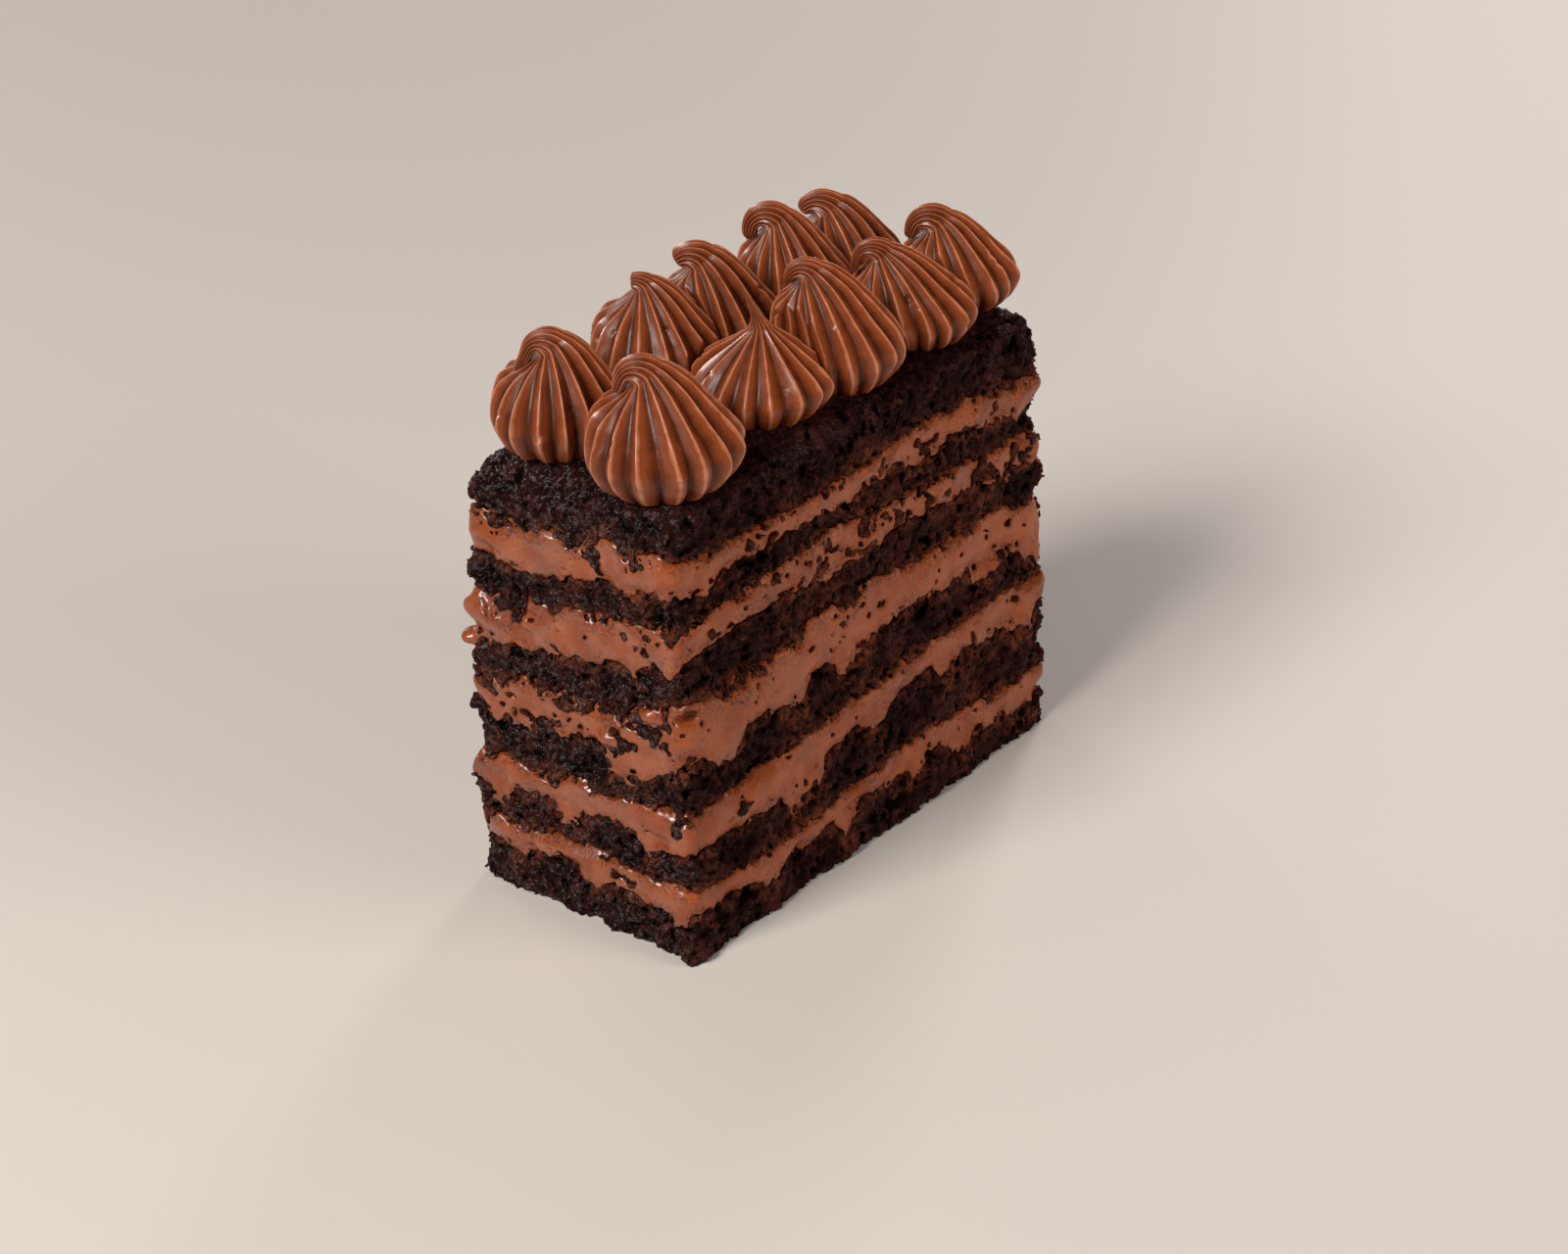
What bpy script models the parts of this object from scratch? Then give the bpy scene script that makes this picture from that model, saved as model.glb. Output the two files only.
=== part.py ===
"""A rectangular slice of chocolate layer cake: six sponges, five bands of cream and ten piped kisses.

Metres, +Z up. The origin is the middle of the footprint, on the surface that the slice stands on.
+X runs along the slice, away from its near end, and +Y runs across it, away from its front face.
"""

import math

import bmesh
import bpy
import numpy as np
from mathutils import Vector

MM = 0.001

# The slice: its size at the foot, and how far each cut face leans in by the top
LENGTH = 93.8 * MM
WIDTH = 45.4 * MM
TOP_LEVEL = 78.2 * MM
FRONT_LEAN = 2.2 * MM
REAR_LEAN = 1.2 * MM
END_LEAN = 0.7 * MM
WORN_CORNER = 0.35 * MM
GAP = 0.3 * MM

# Facets round the slice: places along each end and along each long face
END_PARTS = 9
FRONT_PARTS = 19

# Where the heights below are read. 0 to 1 runs along the near end, from its left corner to the corner
# nearest the viewer, 1 to 2 along the front face, 2 to 3 along the far end and 3 to 4 back along the rear.
READ_AT = (0, 1 / 3, 2 / 3, 1, 1.2, 1.4, 1.6, 1.8, 2)

# Height in mm of the line where each sponge meets the cream above or below it, bottom line first.
SEAM_HEIGHTS = (
    (8.7, 9.1, 8.5, 8.8, 7.6, 8.6, 9.9, 8.8, 6.9),
    (12.4, 13.3, 12.7, 12.8, 11.3, 11.9, 13.5, 12.5, 11.3),
    (19.4, 20.2, 20.7, 19.0, 19.0, 22.7, 25.0, 23.6, 24.6),
    (22.7, 25.0, 25.6, 25.9, 26.8, 28.1, 29.3, 29.4, 28.7),
    (34.2, 34.4, 32.9, 36.1, 35.8, 37.6, 39.3, 38.0, 37.4),
    (37.2, 40.4, 41.4, 45.8, 46.0, 47.6, 46.2, 46.3, 43.7),
    (43.8, 46.2, 48.4, 53.6, 55.3, 53.6, 53.3, 52.4, 50.0),
    (53.3, 55.5, 56.9, 58.3, 59.6, 60.3, 57.9, 57.4, 55.3),
    (59.6, 59.6, 61.9, 63.9, 64.4, 64.9, 64.7, 63.0, 60.7),
    (66.3, 68.2, 70.6, 70.2, 67.6, 68.0, 69.0, 68.4, 64.9),
)
TOP_EDGE_HEIGHTS = (70.6, 73.2, 75.4, 76.8, 77.2, 77.0, 77.2, 77.0, 74.9)

# On the two faces that the photograph hides, a line keeps between the heights of the corners that show
REAR_CORNER_AT = 3
SEAM_RIPPLE = 0.35 * MM
RIPPLE_CHANGE = 1.7

# The top sponge droops towards its edges, over this much of its top
DROOP_WIDTH = 7.0 * MM
SHOULDER_AT = 2.5 * MM

# How deep the torn faces are, in and out
SPONGE_CRAG = 0.95 * MM
CREAM_CRAG = 0.45 * MM
SEAM_CRAG = 0.55 * MM
CREAM_BULGE = 0.35 * MM
CORE_INSET = 7.0 * MM
SPONGE_BANDS = 3
CREAM_BANDS = 2

# Piped kisses. All of them were pulled away to one side, so that they lean and hook over that way
RIDGES = 16
FACETS_PER_RIDGE = 2
RIDGE_DEPTH = 0.12
NECK_RIDGE_DEPTH = 0.26
FOOT_RATIO = 0.80
BELLY_AT = 0.22
DOME_ROUNDNESS = 1.8
DOME_FULLNESS = 0.75
NECK_RADIUS = 1.4 * MM
TIP_RADIUS = 0.45 * MM
LEAN_HEADING = math.radians(129.6)
BODY_RINGS = (0.0, 0.1, 0.24, 0.42, 0.6, 0.77, 0.9, 1.0)
TIP_RINGS = (0.55,)
FOOT_CORE_RATIO = 0.5
FOOT_FOLLOWS_DROOP = 0.6

# Each kiss: its centre along and across the slice, its widest radius, its height and how far its top leans,
# then the length of its pulled tip, all in mm, and how many degrees the tip curls over
KISSES = {
    "kiss_front_1": (-37.2, -11.2, 12.3, 18.6, 2.2, 3.6, 160),
    "kiss_front_2": (-10.6, -7.9, 11.4, 18.6, 0.8, 5.4, 25),
    "kiss_front_3": (5.9, -10.7, 10.9, 18.6, 4.2, 3.6, 130),
    "kiss_front_4": (25.6, -10.9, 10.4, 14.8, 5.0, 5.0, 170),
    "kiss_front_5": (40.6, -8.6, 9.8, 14.8, 2.6, 5.0, 160),
    "kiss_rear_1": (-36.7, 9.9, 10.9, 16.8, 0.8, 4.2, 165),
    "kiss_rear_2": (-12.2, 11.0, 11.6, 17.6, 2.0, 2.4, 60),
    "kiss_rear_3": (2.2, 10.0, 10.3, 17.8, 3.2, 2.6, 80),
    "kiss_rear_4": (20.8, 10.0, 9.9, 17.4, 3.0, 6.0, 150),
    "kiss_rear_5": (35.2, 10.4, 9.9, 15.0, 3.8, 2.8, 90),
}

# Crumb and cream as they look, linear red, green and blue
SPONGE_COLOUR = (0.030, 0.013, 0.011)
CREAM_COLOUR = (0.300, 0.095, 0.042)
SPONGE_ROUGHNESS = 0.85
CREAM_ROUGHNESS = 0.32
SHADE_STEP = 0.03


def waves(seed, count, fewest_round, most_round, most_up):
    """Seeded waves that run round and up the slice: turns round it, turns up it, phase and share."""
    random = np.random.default_rng(seed)
    turns_round = random.integers(fewest_round, most_round, count)
    turns_up = random.uniform(-most_up, most_up, count)
    phase = random.uniform(0, 2 * math.pi, count)
    share = random.uniform(0.5, 1.0, count)
    return turns_round, turns_up, phase, share / share.sum()


CRAG_WAVES = waves(seed=7, count=9, fewest_round=3, most_round=27, most_up=9)
RIPPLE_WAVES = waves(seed=11, count=5, fewest_round=3, most_round=14, most_up=0.1)


def sway(of_waves, place, level):
    """The waves added up at a place round the slice (0 to 4) and a level (0 to 1), from about -1 to 1."""
    turns_round, turns_up, phase, share = of_waves
    angle = turns_round * place * math.pi / 2 + turns_up * level * 2 * math.pi + phase
    return 2.0 * float(np.sum(share * np.sin(angle)))


def read_height(heights, place):
    """A measured height at a place round the slice, in metres, with the hidden rear corner worked out."""
    left, near, far = heights[0], heights[3], heights[-1]
    rear = (left + near + far) / 3 + (far - near) / 2
    return MM * float(np.interp(place, READ_AT + (REAR_CORNER_AT,), heights + (rear,), period=4))


def seam_height(seam, place):
    """Height of a line between layers: 0 is the foot of the slice, and 1 to 10 are the measured lines."""
    if seam == 0:
        return 0.0
    ripple = SEAM_RIPPLE * sway(RIPPLE_WAVES, place, seam * RIPPLE_CHANGE)
    return read_height(SEAM_HEIGHTS[seam - 1], place) + ripple


def half_sizes(height):
    """Half the slice's length and half its width at a height, as its faces lean in."""
    share = height / TOP_LEVEL
    return LENGTH / 2 - END_LEAN * share, WIDTH / 2 - (FRONT_LEAN + REAR_LEAN) / 2 * share


def middle(height):
    """How far the middle of the slice stands to the rear at a height, as the front leans in the most."""
    return (FRONT_LEAN - REAR_LEAN) / 2 * height / TOP_LEVEL


def outline_point(place, height, outward):
    """The point at a place round the slice, moved out of its face, or into it where outward is negative."""
    along, across = (half + outward for half in half_sizes(height))
    side = int(place) % 4
    run = 2 * (place - int(place)) - 1
    corner = WORN_CORNER if place == int(place) else 0
    x, y = (
        (-along, -run * across),
        (run * along, -across),
        (along, run * across),
        (-run * along, across),
    )[side]
    y += middle(height) - math.copysign(corner, y)
    return Vector((x - math.copysign(corner, x), y, height))


def places_round():
    """The places of one ring of facets, from the left corner of the near end round to it again."""
    parts = (END_PARTS, FRONT_PARTS, END_PARTS, FRONT_PARTS)
    return [side + i / parts[side] for side in range(4) for i in range(parts[side])]


PLACES = places_round()


def droop(place, inward):
    """How far the top has sunk below its level, at a distance in from the edge."""
    drop = TOP_LEVEL - read_height(TOP_EDGE_HEIGHTS, place)
    return drop * max(0.0, 1 - inward / DROOP_WIDTH) ** 2


def droop_at(x, y):
    """How far the top has sunk at a point of it, from the edge that lies nearest."""
    along, across = half_sizes(TOP_LEVEL)
    y -= middle(TOP_LEVEL)
    gaps = (along + x, across + y, along - x, across - y)
    side = gaps.index(min(gaps))
    run = (-y / across, x / along, y / across, -x / along)[side]
    return droop(side + min(max((run + 1) / 2, 0), 1), max(0.0, gaps[side]))


def core_ring(seam, lift):
    """The ring where a seam turns flat inside the slice, on the plane that best fits its edge."""
    edge = [outline_point(place, seam_height(seam, place), 0) for place in PLACES]
    rows = np.array([(point.x, point.y, 1.0) for point in edge])
    plane = np.linalg.lstsq(rows, np.array([point.z for point in edge]), rcond=None)[0]
    ring = [outline_point(place, seam_height(seam, place), -CORE_INSET) for place in PLACES]
    return [Vector((p.x, p.y, float(np.dot(plane, (p.x, p.y, 1.0))) + lift)) for p in ring]


def face_ring(lower, upper, share, depth, bulge):
    """A ring on the cut face, at a share of the way up from one line to the next."""
    ring = []
    for place in PLACES:
        height = lower(place) + share * (upper(place) - lower(place))
        belly = bulge * math.sin(math.pi * share)
        crag = sway(CRAG_WAVES, place, height / TOP_LEVEL)
        ring.append(outline_point(place, height, depth * crag + belly))
    return ring


def layer_rings(below, above, bands, depth, bulge):
    """The rings of one layer between two seams: flat core, edge, cut face, edge and flat core."""

    def lower(place):
        return seam_height(below, place) + (GAP / 2 if below else 0)

    def upper(place):
        return seam_height(above, place) - GAP / 2

    rings = [core_ring(below, GAP / 2 if below else 0)]
    for band in range(bands + 1):
        at_seam = band in (0, bands)
        ring_depth = SEAM_CRAG if at_seam else depth
        rings.append(face_ring(lower, upper, band / bands, ring_depth, bulge))
    return rings + [core_ring(above, -GAP / 2)]


def top_rings(below, bands, depth):
    """The rings of the uppermost sponge, whose top is level and droops to its edges."""

    def lower(place):
        return seam_height(below, place) + GAP / 2

    def upper(place):
        return read_height(TOP_EDGE_HEIGHTS, place)

    rings = [core_ring(below, GAP / 2)]
    for band in range(bands + 1):
        ring_depth = depth if 0 < band < bands else SEAM_CRAG
        rings.append(face_ring(lower, upper, band / bands, ring_depth, 0))
    for inward in (SHOULDER_AT, DROOP_WIDTH):
        rings.append([
            outline_point(place, TOP_LEVEL, -inward) - Vector((0, 0, droop(place, inward)))
            for place in PLACES
        ])
    return rings


def body_radius(share):
    """A kiss's radius as a share of its widest, from its foot over its belly to the top of its dome."""
    if share < BELLY_AT:
        return FOOT_RATIO + (1 - FOOT_RATIO) * math.sin(math.pi / 2 * share / BELLY_AT)
    rise = (share - BELLY_AT) / (1 - BELLY_AT)
    return (1 - rise**DOME_ROUNDNESS) ** DOME_FULLNESS


def tip_bend(tip, turn):
    """The radius of the arc that a pulled tip curls round, and how high that arc rises."""
    radius = tip / turn
    return radius, radius * math.sin(min(turn, math.pi / 2))


def body_core(share, height, lean):
    """The middle of a kiss at a share of its height: it leans more the higher it is."""
    outward = Vector((math.cos(LEAN_HEADING), math.sin(LEAN_HEADING), 0))
    return outward * lean * share**2 + Vector((0, 0, height * share))


def tip_core(share, height, lean, tip, turn):
    """The middle of a pulled tip at a share of its length, and the way that it heads there."""
    outward = Vector((math.cos(LEAN_HEADING), math.sin(LEAN_HEADING), 0))
    radius, _ = tip_bend(tip, turn)
    angle = turn * share
    reach = radius * (1 - math.cos(angle))
    point = body_core(1, height, lean) + outward * reach + Vector((0, 0, radius * math.sin(angle)))
    return point, outward * math.sin(angle) + Vector((0, 0, math.cos(angle)))


def squeezed(point, centre, radius, neighbours):
    """The point kept on its own kiss's side of the flat where it presses on each neighbour."""
    for other, other_radius in neighbours:
        between = other - centre
        limit = between.length * radius / (radius + other_radius) - GAP
        past = (point - centre).dot(between.normalized()) - limit
        if past > 0:
            point = point - between.normalized() * past
    return point


def ridged_ring(core, heading, reach, depth):
    """A ring round the core of a kiss, with a point on each crest and, closer in, one in each valley."""
    sideways = Vector((-math.sin(LEAN_HEADING), math.cos(LEAN_HEADING), 0))
    ahead = sideways.cross(heading)
    count = RIDGES * FACETS_PER_RIDGE
    ring = []
    for i in range(count):
        angle = 2 * math.pi * i / count
        spoke = ahead * math.cos(angle) + sideways * math.sin(angle)
        ring.append(core + spoke * reach * (1 - depth * (i % FACETS_PER_RIDGE)))
    return ring


def kiss_rings(name):
    """The rings of one kiss, from the middle of its foot to near its tip, and the point of the tip."""
    x, y, radius, height, lean, tip = (size * MM for size in KISSES[name][:-1])
    turn = math.radians(KISSES[name][-1])
    centre = Vector((x, y, 0))
    others = [[size * MM for size in sizes[:3]] for key, sizes in KISSES.items() if key != name]
    others = [(Vector((other_x, other_y, 0)), size) for other_x, other_y, size in others]
    neighbours = [(at, size) for at, size in others if (at - centre).length < size + radius]
    floor = Vector((0, 0, TOP_LEVEL + GAP))
    body_height = height - tip_bend(tip, turn)[1]

    rings = []
    for share in BODY_RINGS:
        depth = RIDGE_DEPTH + (NECK_RIDGE_DEPTH - RIDGE_DEPTH) * share
        reach = max(NECK_RADIUS, radius * body_radius(share))
        core = centre + body_core(share, body_height, lean)
        ring = ridged_ring(core, Vector((0, 0, 1)), reach, depth)
        rings.append([squeezed(point, centre, radius, neighbours) + floor for point in ring])
    for share in TIP_RINGS:
        core, heading = tip_core(share, body_height, lean, tip, turn)
        reach = NECK_RADIUS + (TIP_RADIUS - NECK_RADIUS) * share
        rings.append(ridged_ring(centre + core + floor, heading, reach, NECK_RIDGE_DEPTH))
    for point in rings[0]:
        point.z -= FOOT_FOLLOWS_DROOP * droop_at(point.x, point.y)
    foot = [centre + floor + (point - centre) * FOOT_CORE_RATIO for point in rings[0]]
    foot = [Vector((point.x, point.y, floor.z)) for point in foot]
    return [foot] + rings, centre + floor + tip_core(1, body_height, lean, tip, turn)[0]


def skinned(name, rings, tip, material):
    """One closed object from rings of points: skin between them, a flat cap below, a cap or a tip above."""
    mesh = bpy.data.meshes.new(name)
    bm = bmesh.new()
    loops = [[bm.verts.new(point) for point in ring] for ring in rings]
    bm.faces.new(list(reversed(loops[0])))
    for lower, upper in zip(loops, loops[1:]):
        for i in range(len(lower)):
            after = (i + 1) % len(lower)
            bm.faces.new((lower[i], lower[after], upper[after], upper[i]))
    if tip is None:
        bm.faces.new(loops[-1])
    else:
        point = bm.verts.new(tip)
        for i in range(len(loops[-1])):
            bm.faces.new((loops[-1][i], loops[-1][(i + 1) % len(loops[-1])], point))
    bmesh.ops.triangulate(bm, faces=bm.faces[:], quad_method="SHORT_EDGE", ngon_method="BEAUTY")
    bmesh.ops.recalc_face_normals(bm, faces=bm.faces[:])
    bm.to_mesh(mesh)
    bm.free()
    mesh.materials.append(material)
    thing = bpy.data.objects.new(name, mesh)
    bpy.context.scene.collection.objects.link(thing)
    return thing


def finish(name, colour, roughness, step):
    """A piece's own material, a step lighter than the piece before it."""
    material = bpy.data.materials.new(name)
    material.use_nodes = True
    shader = material.node_tree.nodes["Principled BSDF"]
    shade = [channel * (1 + SHADE_STEP * step) for channel in colour]
    shader.inputs["Base Color"].default_value = (*shade, 1.0)
    shader.inputs["Roughness"].default_value = roughness
    shader.inputs["Metallic"].default_value = 0.0
    return material


def make_layers():
    """Sponges and creams from the foot up, in turn."""
    layers = []
    sponges = (len(SEAM_HEIGHTS) + 2) // 2
    for number in range(1, sponges + 1):
        name = f"sponge_{number}"
        below = 2 * number - 2
        material = finish(name, SPONGE_COLOUR, SPONGE_ROUGHNESS, number)
        if number == sponges:
            rings = top_rings(below, SPONGE_BANDS, SPONGE_CRAG)
        else:
            rings = layer_rings(below, below + 1, SPONGE_BANDS, SPONGE_CRAG, 0)
        layers.append(skinned(name, rings, None, material))
        if number < sponges:
            name = f"cream_{number}"
            material = finish(name, CREAM_COLOUR, CREAM_ROUGHNESS, number)
            rings = layer_rings(below + 1, below + 2, CREAM_BANDS, CREAM_CRAG, CREAM_BULGE)
            layers.append(skinned(name, rings, None, material))
    return layers


def make_kisses():
    """The ten piped kisses on the top sponge, in two rows."""
    kisses = []
    for step, name in enumerate(KISSES):
        rings, tip = kiss_rings(name)
        material = finish(name, CREAM_COLOUR, CREAM_ROUGHNESS, step)
        kiss = skinned(name, rings, tip, material)
        kiss.data.shade_smooth()
        kisses.append(kiss)
    return kisses


def make_cake():
    """The whole slice, with its pieces under one empty."""
    for thing in list(bpy.data.objects):
        bpy.data.objects.remove(thing, do_unlink=True)
    slice_of_cake = bpy.data.objects.new("cake_slice", None)
    bpy.context.scene.collection.objects.link(slice_of_cake)
    for piece in make_layers() + make_kisses():
        piece.parent = slice_of_cake


make_cake()
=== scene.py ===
# %% [markdown]
# A slice of chocolate layer cake, cut square and stood upright: six dark moist sponges, five bands of
# milk-brown chocolate cream, and ten ridged kisses piped on top. The packed frame gives each of them as a
# plain solid at its real size, and this lesson dresses those solids. The layers are rebuilt as a volume of
# small cubes, because torn crumb is full of holes and overhangs that no pushed-about grid could make. The
# kisses are drawn as rings swept up a bending line, because that is how a star nozzle lays them down.

# %% The packed frame
import math

import bpy
import numpy as np
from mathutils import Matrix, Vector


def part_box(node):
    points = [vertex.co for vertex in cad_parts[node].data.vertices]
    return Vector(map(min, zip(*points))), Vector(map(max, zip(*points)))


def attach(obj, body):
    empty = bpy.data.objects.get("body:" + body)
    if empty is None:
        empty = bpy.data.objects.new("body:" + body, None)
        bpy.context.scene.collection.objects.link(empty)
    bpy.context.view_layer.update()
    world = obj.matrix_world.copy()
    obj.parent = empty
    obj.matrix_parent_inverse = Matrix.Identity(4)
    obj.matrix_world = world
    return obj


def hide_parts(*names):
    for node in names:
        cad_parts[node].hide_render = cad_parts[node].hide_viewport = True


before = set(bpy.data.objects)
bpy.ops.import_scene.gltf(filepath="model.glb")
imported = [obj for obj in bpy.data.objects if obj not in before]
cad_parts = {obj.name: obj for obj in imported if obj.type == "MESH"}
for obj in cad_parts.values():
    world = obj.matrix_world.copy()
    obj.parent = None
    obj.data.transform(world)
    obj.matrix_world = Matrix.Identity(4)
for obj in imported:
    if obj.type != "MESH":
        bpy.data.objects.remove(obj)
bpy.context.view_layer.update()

import openvdb
from mathutils import Matrix, Vector
from mathutils.bvhtree import BVHTree

MM = 0.001
SPONGES = sorted(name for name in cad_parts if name.startswith("sponge"))
CREAMS = sorted(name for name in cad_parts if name.startswith("cream"))
KISS_NODES = sorted(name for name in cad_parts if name.startswith("kiss"))
LAYERS = [name for pair in zip(SPONGES, CREAMS + [None]) for name in pair if name]
print("layers from the foot up:", LAYERS)
print("kisses:", KISS_NODES)

# %% [markdown]
# The camera looks down at the slice's near corner through a long lens, from about 60 cm away. A long lens
# keeps the upright edges nearly parallel, where a short one close by would splay them. Its place and turn
# were found once, by matching the corners of the slice, and are written here as a distance, two angles and
# a small tilt.

# %% Camera
LENS = 90.0
CAMERA_TARGET = Vector((-10.12, -11.70, 40.0)) * MM
CAMERA_DISTANCE = 620.1 * MM
CAMERA_AZIMUTH = math.radians(-50.59)
CAMERA_ELEVATION = math.radians(29.45)
CAMERA_TILT = math.radians(-1.42)


def place_camera():
    """The camera, aimed from its distance and angles."""
    data = bpy.data.cameras.new("camera")
    data.lens = LENS
    data.clip_start = 0.01
    camera = bpy.data.objects.new("camera", data)
    bpy.context.scene.collection.objects.link(camera)
    flat = math.cos(CAMERA_ELEVATION)
    back = Vector((
        math.sin(CAMERA_AZIMUTH) * flat,
        -math.cos(CAMERA_AZIMUTH) * flat,
        math.sin(CAMERA_ELEVATION),
    ))
    level = Vector((math.cos(CAMERA_AZIMUTH), math.sin(CAMERA_AZIMUTH), 0))
    right = math.cos(CAMERA_TILT) * level + math.sin(CAMERA_TILT) * back.cross(level)
    turn = Matrix((right, back.cross(right), back)).transposed()
    camera.matrix_world = Matrix.Translation(CAMERA_TARGET + back * CAMERA_DISTANCE) @ turn.to_4x4()
    bpy.context.scene.camera = camera
    return camera


camera = place_camera()
print("camera at", [round(c, 3) for c in camera.matrix_world.translation])

# %% [markdown]
# The main light is a big soft window high on the left, which makes the near end brighter than the long face.
# Even light from all round would be simpler, but crumb shows by its small shadows, and those need light from
# one side. Two small windows, to the right and behind, put the pale gloss on the kisses' shoulders. A wide
# soft light in front opens up the shadows, and is kept out of the reflections, or it would make the cream
# look chalky.

# %% Lights
SKY_COLOUR = (1.0, 0.97, 0.94)
SKY_STRENGTH = 0.035
LIGHT_AIM = Vector((0, 0, 0.05))
# Each light: its place, its width and height in metres, its power in watts and its colour
LIGHTS = {
    "window": ((-0.80, 0.05, 0.80), 0.45, 0.45, 12.5, (1.0, 0.97, 0.94)),
    "right_window": ((0.85, 0.30, 0.40), 0.20, 0.32, 2.2, (1.0, 0.93, 0.93)),
    "back_window": ((0.30, 1.00, 0.35), 0.40, 0.20, 1.4, (1.0, 0.93, 0.93)),
    "front_fill": ((0.30, -1.00, 0.40), 0.60, 0.60, 6.5, (1.0, 0.97, 0.95)),
}


def light_the_scene():
    """Soft lights and a pale sky."""
    for name, (at, width, height, power, colour) in LIGHTS.items():
        data = bpy.data.lights.new(name, "AREA")
        data.shape = "RECTANGLE"
        data.size = width
        data.size_y = height
        data.energy = power
        data.color = colour
        lamp = bpy.data.objects.new(name, data)
        bpy.context.scene.collection.objects.link(lamp)
        lamp.location = at
        lamp.rotation_euler = (LIGHT_AIM - Vector(at)).to_track_quat("-Z", "Y").to_euler()
        lamp.visible_glossy = not name.endswith("fill")
    world = bpy.data.worlds.new("sky")
    world.use_nodes = True
    world.node_tree.nodes["Background"].inputs["Color"].default_value = (*SKY_COLOUR, 1)
    world.node_tree.nodes["Background"].inputs["Strength"].default_value = SKY_STRENGTH
    bpy.context.scene.world = world
    bpy.context.scene.view_settings.view_transform = "Standard"


light_the_scene()
print("lights:", list(LIGHTS))

# %% [markdown]
# The floor is plain, pale and a little warm, and throws some light back up on the cut faces. The lights don't
# reach its far parts, which would go dark in a low view, so those glow a little, more the farther out they
# lie. Close to the slice there is no glow, and the shadow on the floor is a true one.

# %% Floor
FLOOR_COLOUR = (0.70, 0.64, 0.58)
FLOOR_ROUGHNESS = 0.55
FLOOR_REACH = 6.0
FAR_GLOW_FROM = 0.5
FAR_GLOW_TO = 2.0
FAR_GLOW = 0.75


def floor_material():
    """Plain pale paper, which glows a little far from the slice."""
    material = bpy.data.materials.new("floor")
    material.use_nodes = True
    nodes, links = material.node_tree.nodes, material.node_tree.links
    place = nodes.new("ShaderNodeTexCoord")
    distance = nodes.new("ShaderNodeVectorMath")
    distance.operation = "LENGTH"
    glow = nodes.new("ShaderNodeMapRange")
    glow.inputs["From Min"].default_value = FAR_GLOW_FROM
    glow.inputs["From Max"].default_value = FAR_GLOW_TO
    glow.inputs["To Max"].default_value = FAR_GLOW
    shader = nodes["Principled BSDF"]
    links.new(place.outputs["Object"], distance.inputs[0])
    links.new(distance.outputs["Value"], glow.inputs["Value"])
    links.new(glow.outputs["Result"], shader.inputs["Emission Strength"])
    shader.inputs["Emission Color"].default_value = (*FLOOR_COLOUR, 1)
    shader.inputs["Base Color"].default_value = (*FLOOR_COLOUR, 1)
    shader.inputs["Roughness"].default_value = FLOOR_ROUGHNESS
    return material


def lay_floor():
    """A wide plain floor."""
    mesh = bpy.data.meshes.new("floor")
    corners = [(x * FLOOR_REACH, y * FLOOR_REACH, 0) for x, y in ((-1, -1), (1, -1), (1, 1), (-1, 1))]
    mesh.from_pydata(corners, [], [(0, 1, 2, 3)])
    mesh.materials.append(floor_material())
    floor = bpy.data.objects.new("floor", mesh)
    bpy.context.scene.collection.objects.link(floor)
    return floor


floor = lay_floor()
print("floor:", 2 * FLOOR_REACH, "m wide")

# %% [markdown]
# The layers rise and fall along the slice, and its faces lean. All of that is in the solids. It could be
# typed in again, but then the crumb would no longer fit once a solid changed, so it is read from them. Rays
# shot at the solids from each side, and down on each layer, say where its faces and its upper side lie. Each
# answer is a map, a grid of places one millimetre apart.

# %% Rays that read the solids
MAP_STEP = 1.0
MAP_MARGIN = 1.0
FAR_OFF = 200.0


def tree_of(names):
    """The solids of some nodes as one thing to shoot rays at, in millimetres."""
    points, faces = [], []
    for name in names:
        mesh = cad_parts[name].data
        start = len(points)
        points += [vertex.co / MM for vertex in mesh.vertices]
        faces += [[start + corner for corner in face.vertices] for face in mesh.polygons]
    return BVHTree.FromPolygons(points, faces)


def shoot(tree, firsts, seconds, axis, towards):
    """A map of where rays along an axis first meet a solid, over the other two axes in order."""
    across = [i for i in range(3) if i != axis]
    heading = Vector([towards if i == axis else 0 for i in range(3)])
    met = np.full((len(firsts), len(seconds)), np.nan)
    for i, first in enumerate(firsts):
        for j, second in enumerate(seconds):
            start = Vector((0, 0, 0))
            start[across[0]], start[across[1]], start[axis] = first, second, -towards * FAR_OFF
            point = tree.ray_cast(start, heading)[0]
            if point is not None:
                met[i, j] = point[axis]
    return met


low, high = (Vector(corner) / MM for corner in (
    np.min([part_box(name)[0] for name in LAYERS], axis=0),
    np.max([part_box(name)[1] for name in LAYERS], axis=0),
))
map_x, map_y, map_z = (
    np.arange(low[i] - MAP_MARGIN, high[i] + MAP_MARGIN + MAP_STEP, MAP_STEP) for i in range(3)
)
all_layers = tree_of(LAYERS)
print("the layers lie between", [round(c, 1) for c in low], "and", [round(c, 1) for c in high], "mm")

# %% [markdown]
# A ray can miss, or slip into the thin gap between two layers. So the maps are mended. On the four faces a
# value is kept within a little of the middle value at its height. Then empty places take the mean of their
# neighbours, and the whole is softened, as the crumb gets its own roughness later on.

# %% Maps of the faces and of the layers' upper sides
MAP_STRAY = 1.6


def filled(found):
    """A map whose empty places have taken the mean of the neighbours that have a value."""
    while np.isnan(found).any():
        wide = np.pad(found, 1, constant_values=np.nan)
        near = np.stack([wide[:-2, 1:-1], wide[2:, 1:-1], wide[1:-1, :-2], wide[1:-1, 2:]])
        known = ~np.isnan(near)
        mean = np.where(known, near, 0).sum(0) / np.maximum(known.sum(0), 1)
        found = np.where(np.isnan(found) & known.any(0), mean, found)
    return found


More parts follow.
